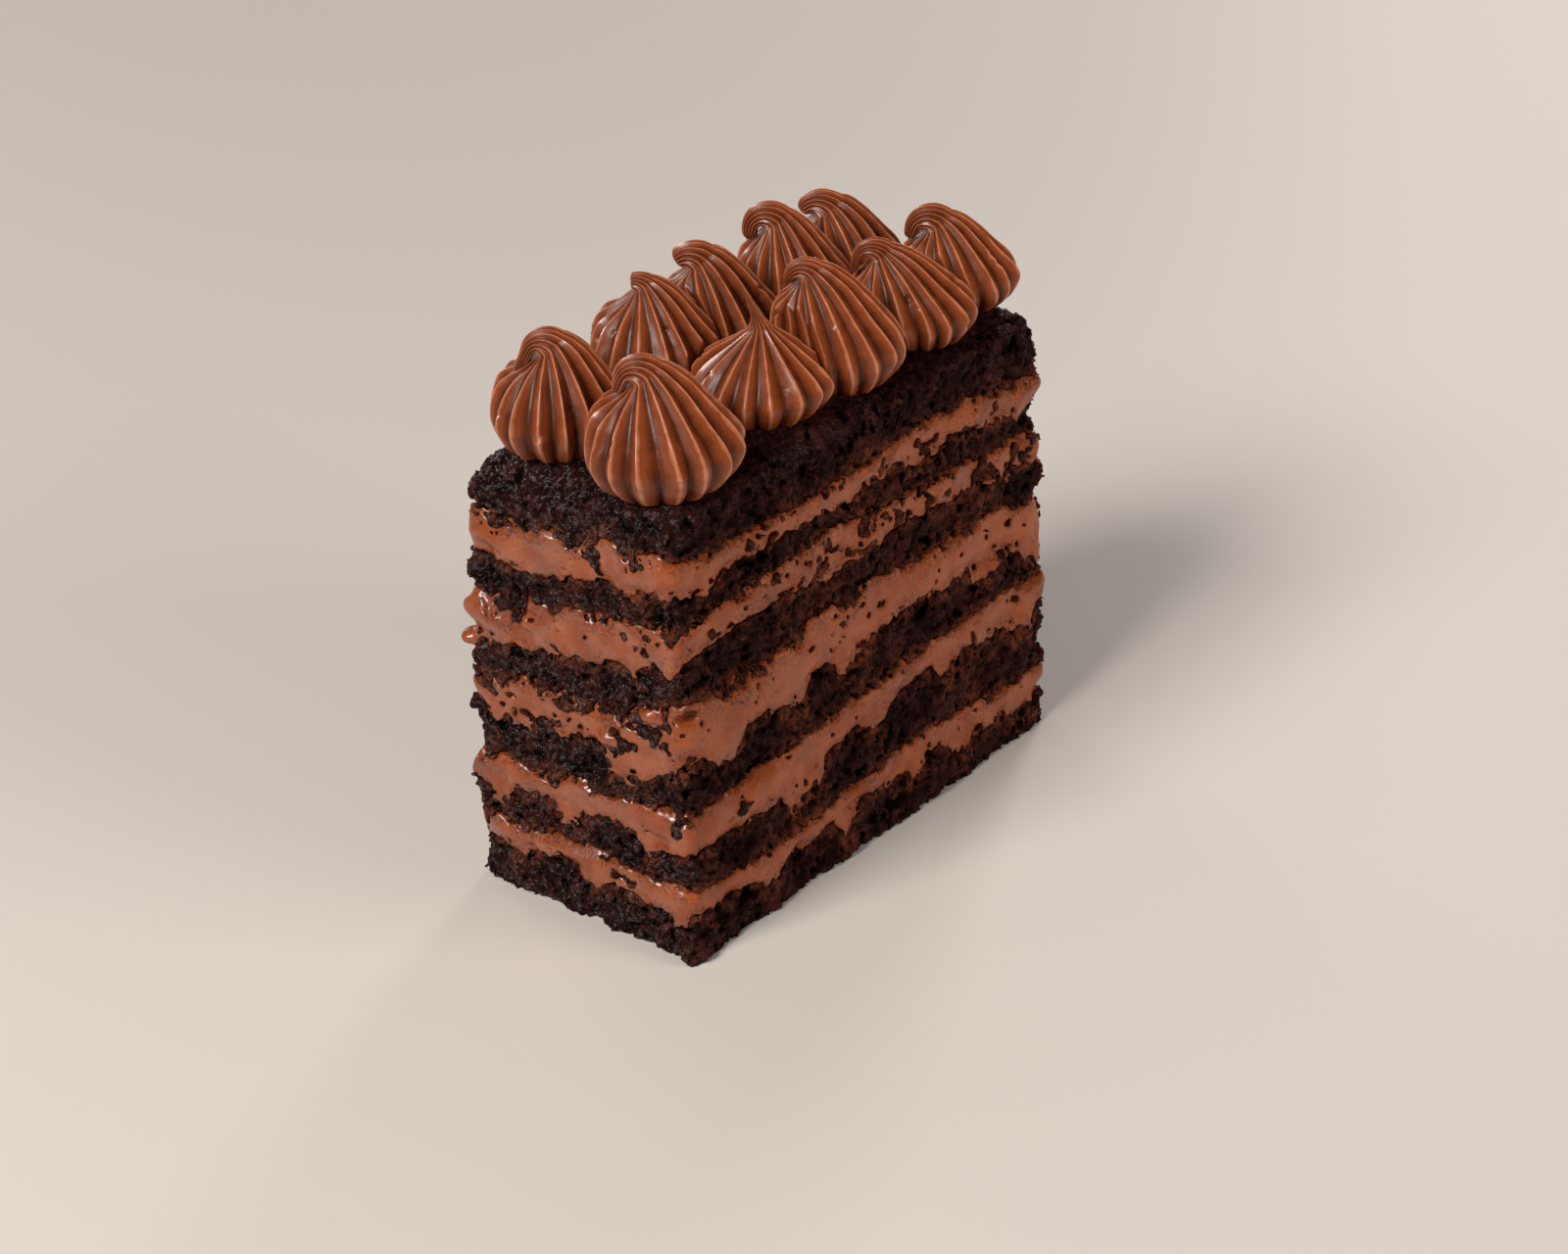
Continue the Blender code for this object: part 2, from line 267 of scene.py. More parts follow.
def softened(found):
    """A map with each value averaged with those beside it."""
    for axis in (0, 1):
        count = found.shape[axis]
        wide = np.pad(found, [(1, 1) if a == axis else (0, 0) for a in (0, 1)], mode="edge")
        found = found / 2 + (wide.take(range(count), axis) + wide.take(range(2, count + 2), axis)) / 4
    return found


def wall_map(firsts, seconds, axis, towards):
    """Where one face of the slice lies, kept near the middle value at each height."""
    found = shoot(all_layers, firsts, seconds, axis, towards)
    usual = np.nanmedian(found, axis=0, keepdims=True)
    usual = np.where(np.isnan(usual), np.nanmedian(found), usual)
    return softened(filled(np.clip(found, usual - MAP_STRAY, usual + MAP_STRAY)))


front_at = wall_map(map_x, map_z, 1, 1)
rear_at = wall_map(map_x, map_z, 1, -1)
near_at = wall_map(map_y, map_z, 0, 1)
far_at = wall_map(map_y, map_z, 0, -1)
tops = [softened(filled(shoot(tree_of([name]), map_x, map_y, 2, -1))) for name in LAYERS]
for side, found in (("front", front_at), ("rear", rear_at), ("near end", near_at), ("far end", far_at)):
    print(side, "face at", round(float(np.median(found)), 1), "mm")
print("mean height of each layer's upper side:", [round(float(top.mean()), 1) for top in tops])

# %% [markdown]
# Now the block of small cubes that all the layers are made in. At each cube's centre a number says how far
# that place is outside the slice, or inside it where the number is below nought. Such numbers can be added
# up, cut and joined freely, where the faces of a mesh would cross each other. Where two sides of the slice
# meet, a smooth maximum rounds the edge off a little, as no knife leaves cake with a sharp edge.

# %% The block of cubes
CUBE = 0.40
MARGIN = 3.0
EDGE_ROUNDING = 1.2
TOP_ROUNDING = 1.5
# A little over 1, so that a place on a map's very edge still has a neighbour to be read with
SHORT_OF_EDGE = 1.001
xs, ys, zs = (np.arange(low[i] - MARGIN, high[i] + MARGIN, CUBE).astype(np.float32) for i in range(3))
X, Y, Z = xs[:, None, None], ys[None, :, None], zs[None, None, :]


def read_between(found, at, new, axis):
    """A map read at new places along one axis, in between its own."""
    place = np.clip((new - at[0]) / MAP_STEP, 0, len(at) - SHORT_OF_EDGE)
    whole = place.astype(int)
    share = (place - whole).reshape([-1 if a == axis else 1 for a in (0, 1)])
    return np.take(found, whole, axis) * (1 - share) + np.take(found, whole + 1, axis) * share


def finer(found, firsts, seconds, new_firsts, new_seconds):
    """A map read at the cubes' own places."""
    found = read_between(found, firsts, new_firsts, 0)
    return read_between(found, seconds, new_seconds, 1).astype(np.float32)


def smooth_max(a, b, width):
    """The larger of two numbers, with the corner between them rounded over a width."""
    share = np.clip(0.5 + 0.5 * (a - b) / width, 0, 1)
    return a * share + b * (1 - share) + width * share * (1 - share)


outside_long = np.maximum(
    finer(front_at, map_x, map_z, xs, zs)[:, None, :] - Y,
    Y - finer(rear_at, map_x, map_z, xs, zs)[:, None, :],
)
outside_end = np.maximum(
    finer(near_at, map_y, map_z, ys, zs)[None, :, :] - X,
    X - finer(far_at, map_y, map_z, ys, zs)[None, :, :],
)
outside_wall = smooth_max(outside_long, outside_end, EDGE_ROUNDING)
above_top = Z - finer(tops[-1], map_x, map_y, xs, ys)[:, :, None]
outside = smooth_max(outside_wall, above_top, TOP_ROUNDING)
print("cubes:", outside.shape, "of", CUBE, "mm, in all", outside.size)

# %% [markdown]
# Crumb is grains stuck together, lumps of every size with dark hollows between them. Cloudy noise alone
# would give soft hills, but cell noise gives grains: space is divided into boxes with one random point each,
# and every place asks how far its nearest point is. Near a point the surface swells out, and between points
# it sinks in. Cream has only soft swells, which mix random heights at the corners of the boxes. In the block
# both are worked out for the cubes near a face and for no others, because nothing deeper shows.

# %% Two kinds of noise
SKIN = 3.0
TABLE = 32
BEYOND_ANY = 9
skin_places = np.flatnonzero(np.abs(outside) < SKIN)
skin_x, skin_y, skin_z = np.unravel_index(skin_places, outside.shape)
skin_points = np.stack([xs[skin_x], ys[skin_y], zs[skin_z]], axis=1)


def box_number(home, step):
    """The place in a random table of the box that lies a step from a point's own box."""
    box = (home + np.array(step, dtype=np.int32)) % TABLE
    return (box[:, 0] * TABLE + box[:, 1]) * TABLE + box[:, 2]


def grains(points, size, seed, stretch=(1, 1, 1)):
    """For each point: how far its nearest grain's middle is, in grain sizes, and that grain's own number."""
    dice = np.random.default_rng(seed)
    jitter = dice.random((TABLE**3, 3), dtype=np.float32)
    number = dice.random(TABLE**3, dtype=np.float32)
    scaled = points / (size * np.array(stretch, dtype=np.float32))
    home = np.floor(scaled - 0.5).astype(np.int32)
    inside = scaled - home
    nearest = np.full(len(points), BEYOND_ANY, dtype=np.float32)
    owner = np.zeros(len(points), dtype=np.float32)
    for step in np.ndindex(2, 2, 2):
        box = box_number(home, step)
        away = jitter[box] + (np.array(step, dtype=np.float32) - inside)
        distance = np.einsum("ij,ij->i", away, away)
        closer = distance < nearest
        nearest = np.where(closer, distance, nearest)
        owner = np.where(closer, number[box], owner)
    return np.sqrt(nearest), owner


def swells(points, size, seed, stretch=(1, 1, 1)):
    """Soft random swells of a size, from about -1 to 1."""
    dice = np.random.default_rng(seed)
    height = dice.uniform(-1, 1, TABLE**3).astype(np.float32)
    scaled = points / (size * np.array(stretch, dtype=np.float32))
    home = np.floor(scaled).astype(np.int32)
    share = scaled - home
    share = share * share * (3 - 2 * share)
    total = np.zeros(len(points), dtype=np.float32)
    for step in np.ndindex(2, 2, 2):
        weight = np.prod([share[:, a] if step[a] else 1 - share[:, a] for a in range(3)], axis=0)
        total += height[box_number(home, step)] * weight
    return total


def spread(values, rest=0.0):
    """Values of the skin's cubes put back into the whole block."""
    block = np.full(outside.size, rest, dtype=np.float32)
    block[skin_places] = values
    return block.reshape(outside.shape)


print("cubes in the skin:", len(skin_places))

# %% [markdown]
# The sizes come from looking at the crumb closely. It has clumps of three millimetres, made of lumps of one
# millimetre and a bit, made of grit. Bubbles of the batter left pores and ragged holes, a little wider than
# they are high, because the cake settled while it baked.

# %% The noises of the crumb
CLUMP_SIZE = 3.0
LUMP_SIZE = 1.3
GRIT_SIZE = 0.70
PORE_SIZE = 1.7
BROAD_SIZE = 7.0
FINE_SIZE = 2.2
HOLE_SIZE = 1.3
SMALL_HOLE_SIZE = 0.65
SMALL_HOLES = 0.8
LYING = (1.3, 1.3, 0.8)
clump, _ = grains(skin_points, CLUMP_SIZE, seed=1)
lump, lump_number = grains(skin_points, LUMP_SIZE, seed=2)
grit, _ = grains(skin_points, GRIT_SIZE, seed=3)
pore, pore_number = grains(skin_points, PORE_SIZE, seed=4, stretch=LYING)
broad = swells(skin_points, BROAD_SIZE, seed=5)
fine = swells(skin_points, FINE_SIZE, seed=6)
hole = swells(skin_points, HOLE_SIZE, seed=12, stretch=LYING)
hole += SMALL_HOLES * swells(skin_points, SMALL_HOLE_SIZE, seed=13)
print("the farthest that a place is from a lump's middle:", round(float(lump.max() * LUMP_SIZE), 2), "mm")

# %% [markdown]
# The two ends were torn as the slices came apart, so their crumb stands up in lumps. The long faces were cut
# with a knife, which leaves crumb flat and open. The top keeps its baked, finely grained skin. So the same
# noises are added up with other strengths on each face, with a soft change where two faces meet.

# %% Crumb
# For each noise: how strong it is on the torn ends, on the cut faces and on the top. Then where the holes
# start, as a value of their noise, and how many mm the crumb may stand proud.
STRENGTHS = {
    "clump": (1.5, 1.0, 0.9),
    "lump": (1.2, 1.0, 1.0),
    "grit": (0.9, 0.9, 0.9),
    "pore": (0.15, 0.22, 0.05),
    "broad": (0.5, 0.3, 0.3),
    "hole": (2.4, 2.4, 1.6),
    "start": (0.26, 0.30, 0.40),
    "proud": (1.6, 0.7, 1.0),
}
BLEND_WIDTH = 1.5
BLEND_SHARPNESS = 3
MOST_STEEP = 30
GRAIN_EDGE = 0.55
SMALLEST_PORE = 0.4
PORE_RANGE = 1.2
LUMP_CRUMB = 0.8
# Lumps of crumb that stick out at the corners: middle and radius, in mm
CRUMB_LUMPS = (
    (-45.6, -21.6, 1.2, 2.2),
    (-45.8, 21.8, 76.2, 2.0),
    (-46.3, 12.0, 75.4, 1.8),
    (-45.8, 22.0, 31.5, 1.2),
    (-46.6, -3.0, 60.2, 1.4),
)


def share_of(a, b):
    """1 where a is well above b, 0 where it is well below, and a smooth change between."""
    return 1 / (1 + np.exp(np.clip((b - a) / BLEND_WIDTH * BLEND_SHARPNESS, -MOST_STEEP, MOST_STEEP)))


def strength(name):
    """How strong one noise is at each cube of the skin, by the face that it is nearest to."""
    end, cut, top = STRENGTHS[name]
    wall = end * on_end + cut * (1 - on_end)
    return wall * (1 - on_top) + top * on_top


skin_outside = outside.ravel()[skin_places]
on_end = share_of(outside_end.ravel()[skin_places], outside_long.ravel()[skin_places])
on_top = share_of(above_top.ravel()[skin_places], outside_wall.ravel()[skin_places])
crumb_swell = sum(
    strength(name) * (GRAIN_EDGE - found)
    for name, found in (("clump", clump), ("lump", lump), ("grit", grit))
)
crumb_swell = np.minimum(crumb_swell + strength("broad") * broad, strength("proud"))
crumb_swell -= strength("hole") * np.maximum(hole - strength("start"), 0)
pore_radius = strength("pore") * (SMALLEST_PORE + PORE_RANGE * pore_number)
crumb_skin = np.maximum(skin_outside - crumb_swell, pore_radius - pore * PORE_SIZE)
for x, y, z, radius in CRUMB_LUMPS:
    away = np.linalg.norm(skin_points - np.array([x, y, z], dtype=np.float32), axis=1)
    crumb_skin = np.minimum(crumb_skin, away - radius - LUMP_CRUMB * crumb_swell)
crumb = np.where(np.abs(outside) < SKIN, spread(crumb_skin), outside)
print("crumb stands out by", round(float(crumb_swell.max()), 2), "mm at most")

# %% [markdown]
# Cream is smooth and fat. It keeps the knife's long soft drag marks and shows a few air bubbles, and on the
# torn end it swells out of the cut where the slice was pressed. The broad swells make the body of it. What
# one would notice is given one by one: a soft mound for each fat place, an egg-shaped hollow for each bubble.

# %% Cream
CREAM_PROUD = 0.15
CREAM_BROAD = 0.42
CREAM_FINE = 0.22
DRAG_DEPTH = 0.10
DRAG_SIZE = 1.3
DRAG_STRETCH = (1, 1, 6)
# Fat places of the near end's cream: place across the slice, height, half width, half height, how far out
BULGES = (
    (18.3, 49.4, 4.5, 2.4, 1.6),
    (9.0, 50.6, 3.4, 1.3, 0.9),
    (-18.1, 66.8, 1.1, 3.2, 1.4),
    (-14.1, 70.4, 2.6, 0.9, 1.3),
    (5.6, 66.6, 2.2, 1.1, 1.3),
    (17.0, 62.8, 4.0, 1.2, 0.8),
    (-15.2, 42.4, 1.6, 1.3, 1.4),
    (-6.3, 35.4, 2.4, 1.2, 1.2),
    (20.0, 22.6, 3.0, 1.8, 0.8),
    (-3.0, 24.0, 4.5, 1.2, 0.5),
    (12.0, 9.8, 5.0, 1.2, 0.5),
)


def patch_offset(across, height, half_width, half_height, squareness=2):
    """How far each cube is from the middle of a patch on an end: 0 there and 1 at the patch's edge."""
    offset = ((skin_points[:, 1] - across) / half_width) ** 2
    return offset + ((skin_points[:, 2] - height) / half_height) ** squareness


near_half = skin_points[:, 0] < 0
drag = swells(skin_points, DRAG_SIZE, seed=7, stretch=DRAG_STRETCH)
cream_skin = skin_outside - CREAM_PROUD - CREAM_BROAD * broad - CREAM_FINE * fine - DRAG_DEPTH * drag
for *patch, how_far in BULGES:
    cream_skin -= how_far * np.exp(-patch_offset(*patch)) * near_half * on_end
print("fat places:", len(BULGES))

# %% Bubbles
BUBBLE_CHANCE = 0.94
BUBBLE_RADIUS = 0.40
BUBBLE_DEPTH = 1.8
# Bubbles in the long face: place along the slice, height, half length and half height, in mm
BUBBLES = (
    (-45.1, 43.1, 2.0, 1.2),
    (-35.3, 43.8, 0.8, 0.6),
    (-29.3, 41.8, 0.6, 0.5),
    (-33.6, 41.0, 0.3, 0.3),
    (-36.4, 21.0, 0.9, 0.5),
    (-20.5, 45.4, 0.4, 0.3),
    (-31.0, 25.0, 0.3, 0.3),
)
front_line = finer(front_at, map_x, map_z, xs, zs)
for along, height, half_length, half_height in BUBBLES:
    face = front_line[np.argmin(abs(xs - along)), np.argmin(abs(zs - height))]
    offset = skin_points - np.array([along, face, height], dtype=np.float32)
    offset /= np.array([half_length, BUBBLE_DEPTH * half_height, half_height], dtype=np.float32)
    hollow = (1 - np.sqrt(np.einsum("ij,ij->i", offset, offset))) * half_height
    cream_skin = np.maximum(cream_skin, hollow)
small_bubbles = np.where(pore_number > BUBBLE_CHANCE, BUBBLE_RADIUS - pore * PORE_SIZE, -SKIN)
cream_skin = np.maximum(cream_skin, small_bubbles)
cream = np.where(np.abs(outside) < SKIN, spread(cream_skin), outside)
print("large bubbles:", len(BUBBLES))

# %% [markdown]
# Where sponge and cream meet at a face, the line between them is ragged: crumbs sink into the cream, and on
# the torn end each has run or hung down over the other in places. Cut straight, the layers would look like
# stacked boards. Deep inside nobody sees it, and there it stays plain, so the wander of the line fades out
# with depth.

# %% Ragged seams
WANDER_BROAD = 0.60
WANDER_BROAD_SIZE = 3.2
WANDER_FINE = 0.80
WANDER_FINE_SIZE = 0.9
WANDER_LUMP = 0.4
WANDER_DEPTH = 2.4
# Where cream has run down over the near end's sponge, or sponge hangs down over the cream: place across the
# slice, height, half width, half height and drop, in mm
DRIPS = (
    (-19.0, 53.4, 1.5, 4.0, 3.4),
    (-5.0, 73.0, 1.2, 5.0, 4.2),
    (11.0, 48.0, 1.6, 3.0, 1.2),
    (-9.0, 33.4, 2.4, 3.2, 1.6),
    (3.5, 35.0, 1.4, 3.0, 1.8),
)
seam_broad = swells(skin_points, WANDER_BROAD_SIZE, seed=8)
seam_fine = swells(skin_points, WANDER_FINE_SIZE, seed=9) + WANDER_LUMP - lump
fade = np.clip(1 + skin_outside / WANDER_DEPTH, 0, 1)
drips = np.zeros(len(skin_points), dtype=np.float32)
for *patch, drop in DRIPS:
    drips -= drop * np.exp(-patch_offset(*patch, squareness=4)) * near_half
wander = spread(fade * (WANDER_BROAD * seam_broad + WANDER_FINE * seam_fine + drips))
seams = [finer(top, map_x, map_y, xs, ys) for top in tops[:-1]]
skin_seams = [seam[skin_x, skin_y] for seam in seams]
layer_at = sum((skin_points[:, 2] > seam).astype(int) for seam in skin_seams)
to_seam = np.min([np.abs(skin_points[:, 2] - seam) for seam in skin_seams], axis=0)
print("the seams wander by up to", round(float(np.abs(wander).max()), 1), "mm")

# %% [markdown]
# How messy each place is follows from that. The knife carries crumbs out of the sponges, so there are most of
# them near a seam, and more and more towards the far end of a cut, where it has the most on it. The near end
# has its own patches. One number, the mess, sums this up, and says how many single crumbs lie in a place.

# %% Where the crumbs lie
SEAM_REACH = 0.8
PATCH_SIZE = 2.6
SMALL_PATCH_SIZE = 1.2
SMALL_PATCHES = 0.5
PATCH_FLATNESS = (1, 1, 0.8)
PATCH_PUSH = 1.6
COVER_PUSH = 1.3
MESS_AT_NEAR_END = 0.6
MESS_GAINED_ALONG = 0.9
SEAM_MESS = 0.50
BROAD_MESS = 0.30
PATCH_MESS = 0.45
PATCH_MESS_FROM = 0.3
# How much of each cream is under crumbs: on the near end and on the long faces
COVER = {
    "cream_1": (0.02, 0.02),
    "cream_2": (0.06, 0.16),
    "cream_3": (0.28, 0.14),
    "cream_4": (0.10, 0.42),
    "cream_5": (0.12, 0.22),
}
# Patches of crumbs on the near end: place across the slice, height, half width, half height, and strength
END_CRUMBS = (
    (-4.8, 66.5, 1.5, 1.6, 1.0),
    (-12.2, 66.4, 1.6, 1.8, 1.0),
    (14.0, 66.6, 4.5, 1.6, 0.8),
    (8.5, 67.6, 2.2, 1.4, 0.6),
    (2.4, 69.0, 1.6, 1.2, 0.5),
    (-15.0, 64.0, 0.8, 0.9, 0.7),
    (-2.0, 55.0, 2.6, 0.8, 0.8),
    (-8.5, 54.6, 3.2, 1.1, 0.8),
    (-14.0, 54.0, 2.6, 1.8, 0.9),
    (8.0, 51.0, 1.0, 0.7, 0.6),
    (14.5, 36.5, 5.0, 1.5, 0.9),
    (2.0, 38.0, 4.0, 1.2, 0.7),
    (-13.5, 40.0, 3.2, 2.4, 0.8),
    (-19.4, 23.0, 1.6, 1.8, 1.0),
    (6.0, 22.0, 1.2, 0.8, 0.6),
)
patchiness = swells(skin_points, PATCH_SIZE, seed=10, stretch=PATCH_FLATNESS)
patchiness += SMALL_PATCHES * swells(skin_points, SMALL_PATCH_SIZE, seed=11)
for *patch, power in END_CRUMBS:
    patchiness = patchiness + PATCH_PUSH * power * (np.exp(-patch_offset(*patch)) * near_half * on_end)
cover_end, cover_long = (
    np.array([COVER.get(name, (0, 0))[side] for name in LAYERS])[layer_at] for side in (0, 1)
)
along_slice = (skin_points[:, 0] - low[0]) / (high[0] - low[0])
gained = MESS_AT_NEAR_END + MESS_GAINED_ALONG * along_slice
cover_here = cover_end * on_end + cover_long * (1 - on_end) * gained
near_seam = np.exp(-to_seam / SEAM_REACH)
patchiness = patchiness + COVER_PUSH * cover_here
mess = cover_here + SEAM_MESS * near_seam + BROAD_MESS * broad
mess = np.clip(mess + PATCH_MESS * (patchiness - PATCH_MESS_FROM), 0, 1)
print("mean mess:", round(float(mess.mean()), 2))

# %% [markdown]
# The crumbs in the cream are grains of sponge that stand a little proud of it. Copies of one crumb could be
# strewn over it, but they would look glued on, so these are cut from the sponge's own noises and sit in the
# cream. Some lie in patches, with the holes of the crumb in them, and others lie singly: where it is messy,
# some lumps of the cell noise are kept and the rest are dropped. All are cut off a little below the skin.

# %% Crumbs in the cream
CRUMB_PROUD = 0.25
CRUMB_ROOT = 0.9
STUCK_EDGE = 0.50
STUCK_LUMP = 0.9
STUCK_GRIT = 0.4
STUCK_HOLE = 1.2
STUCK_HOLE_START = 0.3
PATCH_LIMIT = 0.95
PATCH_SLOPE = 1.2
SINGLE_CHANCE = 0.24
SINGLE_RADIUS = 0.42
small_swell = STUCK_LUMP * (STUCK_EDGE - lump) + STUCK_GRIT * (STUCK_EDGE - grit)
small_swell = small_swell - STUCK_HOLE * np.maximum(hole - STUCK_HOLE_START, 0)
patch_skin = (PATCH_LIMIT - patchiness) * PATCH_SLOPE - small_swell
single_skin = np.where(lump_number < SINGLE_CHANCE * mess, (lump - SINGLE_RADIUS) * LUMP_SIZE, SKIN)
stuck_skin = np.maximum(skin_outside - CRUMB_PROUD - small_swell, np.minimum(patch_skin, single_skin))
stuck_skin = np.maximum(stuck_skin, -(skin_outside + CRUMB_ROOT))
stuck = spread(stuck_skin, rest=SKIN)
with_crumb = (stuck_skin[layer_at % 2 == 1] < 0).mean()
print("share of the creams' cubes near a face that hold a crumb:", round(float(with_crumb), 3))

# %% [markdown]
# A mesher lays a skin through the block where the number is nought. It keeps small faces where the skin is
# rough and joins them up where it is flat, so the plain inside costs little. Noise leaves scraps that hang in
# the air, so parts with few points are found, by sharing numbers along edges, and dropped.

# %% From a block to a mesh
# How readily the mesher joins faces up where the skin is flat, from 0 for never to 1
FLAT_ENOUGH = 0.02
LEVELS = 3


def skin_of(field, first_z):
    """The points in mm and the faces, as rows of four corners, where a block's number is nought."""
    grid = openvdb.FloatGrid(LEVELS * CUBE)
    grid.copyFromArray(np.ascontiguousarray(np.clip(field, -LEVELS * CUBE, LEVELS * CUBE)))
    points, triangles, quads = grid.convertToPolygons(isovalue=0.0, adaptivity=FLAT_ENOUGH)
    points = points * CUBE + np.array([xs[0], ys[0], zs[first_z]])
    threes = np.concatenate([triangles, triangles[:, :1]], axis=1).astype(np.int64)
    return points, np.concatenate([quads.astype(np.int64), threes])


def parts_of(count, edges):
    """A number for each point that it shares with every point joined to it."""
    label = np.arange(count)
    while True:
        lowest = np.minimum(label[edges[:, 0]], label[edges[:, 1]])
        fresh = label.copy()
        np.minimum.at(fresh, label[edges[:, 0]], lowest)
        np.minimum.at(fresh, label[edges[:, 1]], lowest)
        fresh = fresh[fresh]
        if np.array_equal(fresh, label):
            return label
        label = fresh


def without_scraps(points, faces, fewest_points):
    """The same skin without its small loose parts."""
    label = parts_of(len(points), np.concatenate([faces[:, [0, 1]], faces[:, [1, 2]], faces[:, [2, 3]]]))
    size = np.bincount(label, minlength=len(points))
    keep = size[label] >= min(fewest_points, size.max())
    fresh = np.cumsum(keep) - 1
    return points[keep], fresh[faces[keep[faces[:, 0]]]]


def mesh_from(name, points, faces):
    """A mesh from points in millimetres and rows of four corners; three-cornered ones repeat the first."""
    three = faces[:, 3] == faces[:, 0]
    flat = np.concatenate([faces[~three].ravel(), faces[three][:, :3].ravel()])
    corners = np.repeat([4, 3], [np.sum(~three), np.sum(three)])
    mesh = bpy.data.meshes.new(name)
    mesh.vertices.add(len(points))
    mesh.vertices.foreach_set("co", (points * MM).astype(np.float32).ravel())
    mesh.loops.add(len(flat))
    mesh.loops.foreach_set("vertex_index", flat.astype(np.int32))
    mesh.polygons.add(len(corners))
    mesh.polygons.foreach_set("loop_start", (np.cumsum(corners) - corners).astype(np.int32))
    mesh.update(calc_edges=True)
    mesh.validate()
    mesh.shade_smooth()
    return mesh


print("the mesher is given the numbers up to", LEVELS, "cubes from the skin")

# %% [markdown]
# Every piece then goes the same way: it takes its material, rides on the slice's one body, and hides the
# plain solid that it stands for, if there is one. Its volume shows whether it is the right way out, because a
# closed mesh that is inside out has a volume below nought.

# %% Pieces
CUBIC_CM = 1e-6


def remember(mesh, name, values):
    """Writes a value for each point into the mesh, for the material to read."""
    layer = mesh.attributes.new(name, "FLOAT", "POINT")
    layer.data.foreach_set("value", np.asarray(values, dtype=np.float32))


def remember_blocks(mesh, points, **blocks):
    """Writes the value of each named block at each point into the mesh."""
    at = [
        np.clip(np.round((points[:, i] - axis[0]) / CUBE).astype(int), 0, len(axis) - 1)
        for i, axis in enumerate((xs, ys, zs))
    ]
    for name, block in blocks.items():
        remember(mesh, name, block[at[0], at[1], at[2]])


def show(mesh, material, slot, *nodes):
    """A piece of the slice, in place of its plain solids."""
    mesh.materials.append(material)
    piece = bpy.data.objects.new(mesh.name, mesh)
    bpy.context.scene.collection.objects.link(piece)
    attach(piece, "root")
    if nodes:
        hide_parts(*nodes)
    return piece


def volume_of(mesh):
    """The volume that a closed mesh holds, in cubic centimetres, below nought if it is inside out."""
    mesh.calc_loop_triangles()
    co = np.empty(len(mesh.vertices) * 3)
    mesh.vertices.foreach_get("co", co)
    tri = np.empty(len(mesh.loop_triangles) * 3, dtype=np.int32)
    mesh.loop_triangles.foreach_get("vertices", tri)
    a, b, c = co.reshape(-1, 3)[tri.reshape(-1, 3)].transpose(1, 0, 2)
    return float(np.einsum("ij,ij->", a, np.cross(b, c)) / 6 / CUBIC_CM)


solid_volumes = [round(volume_of(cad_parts[name].data), 1) for name in LAYERS]
print("the plain layers hold", solid_volumes, "cubic cm")

# %% [markdown]
# Three materials are needed, all made of the same few nodes: noise at a real size, a range, a mix and a
# bump. Written out, each node would take several lines, so a painter holds one material and makes its nodes
# in short calls, and each recipe below reads like one. Values that the mesh remembers, such as how deep a
# place lies, come in the same way.

# %% A painter for the materials


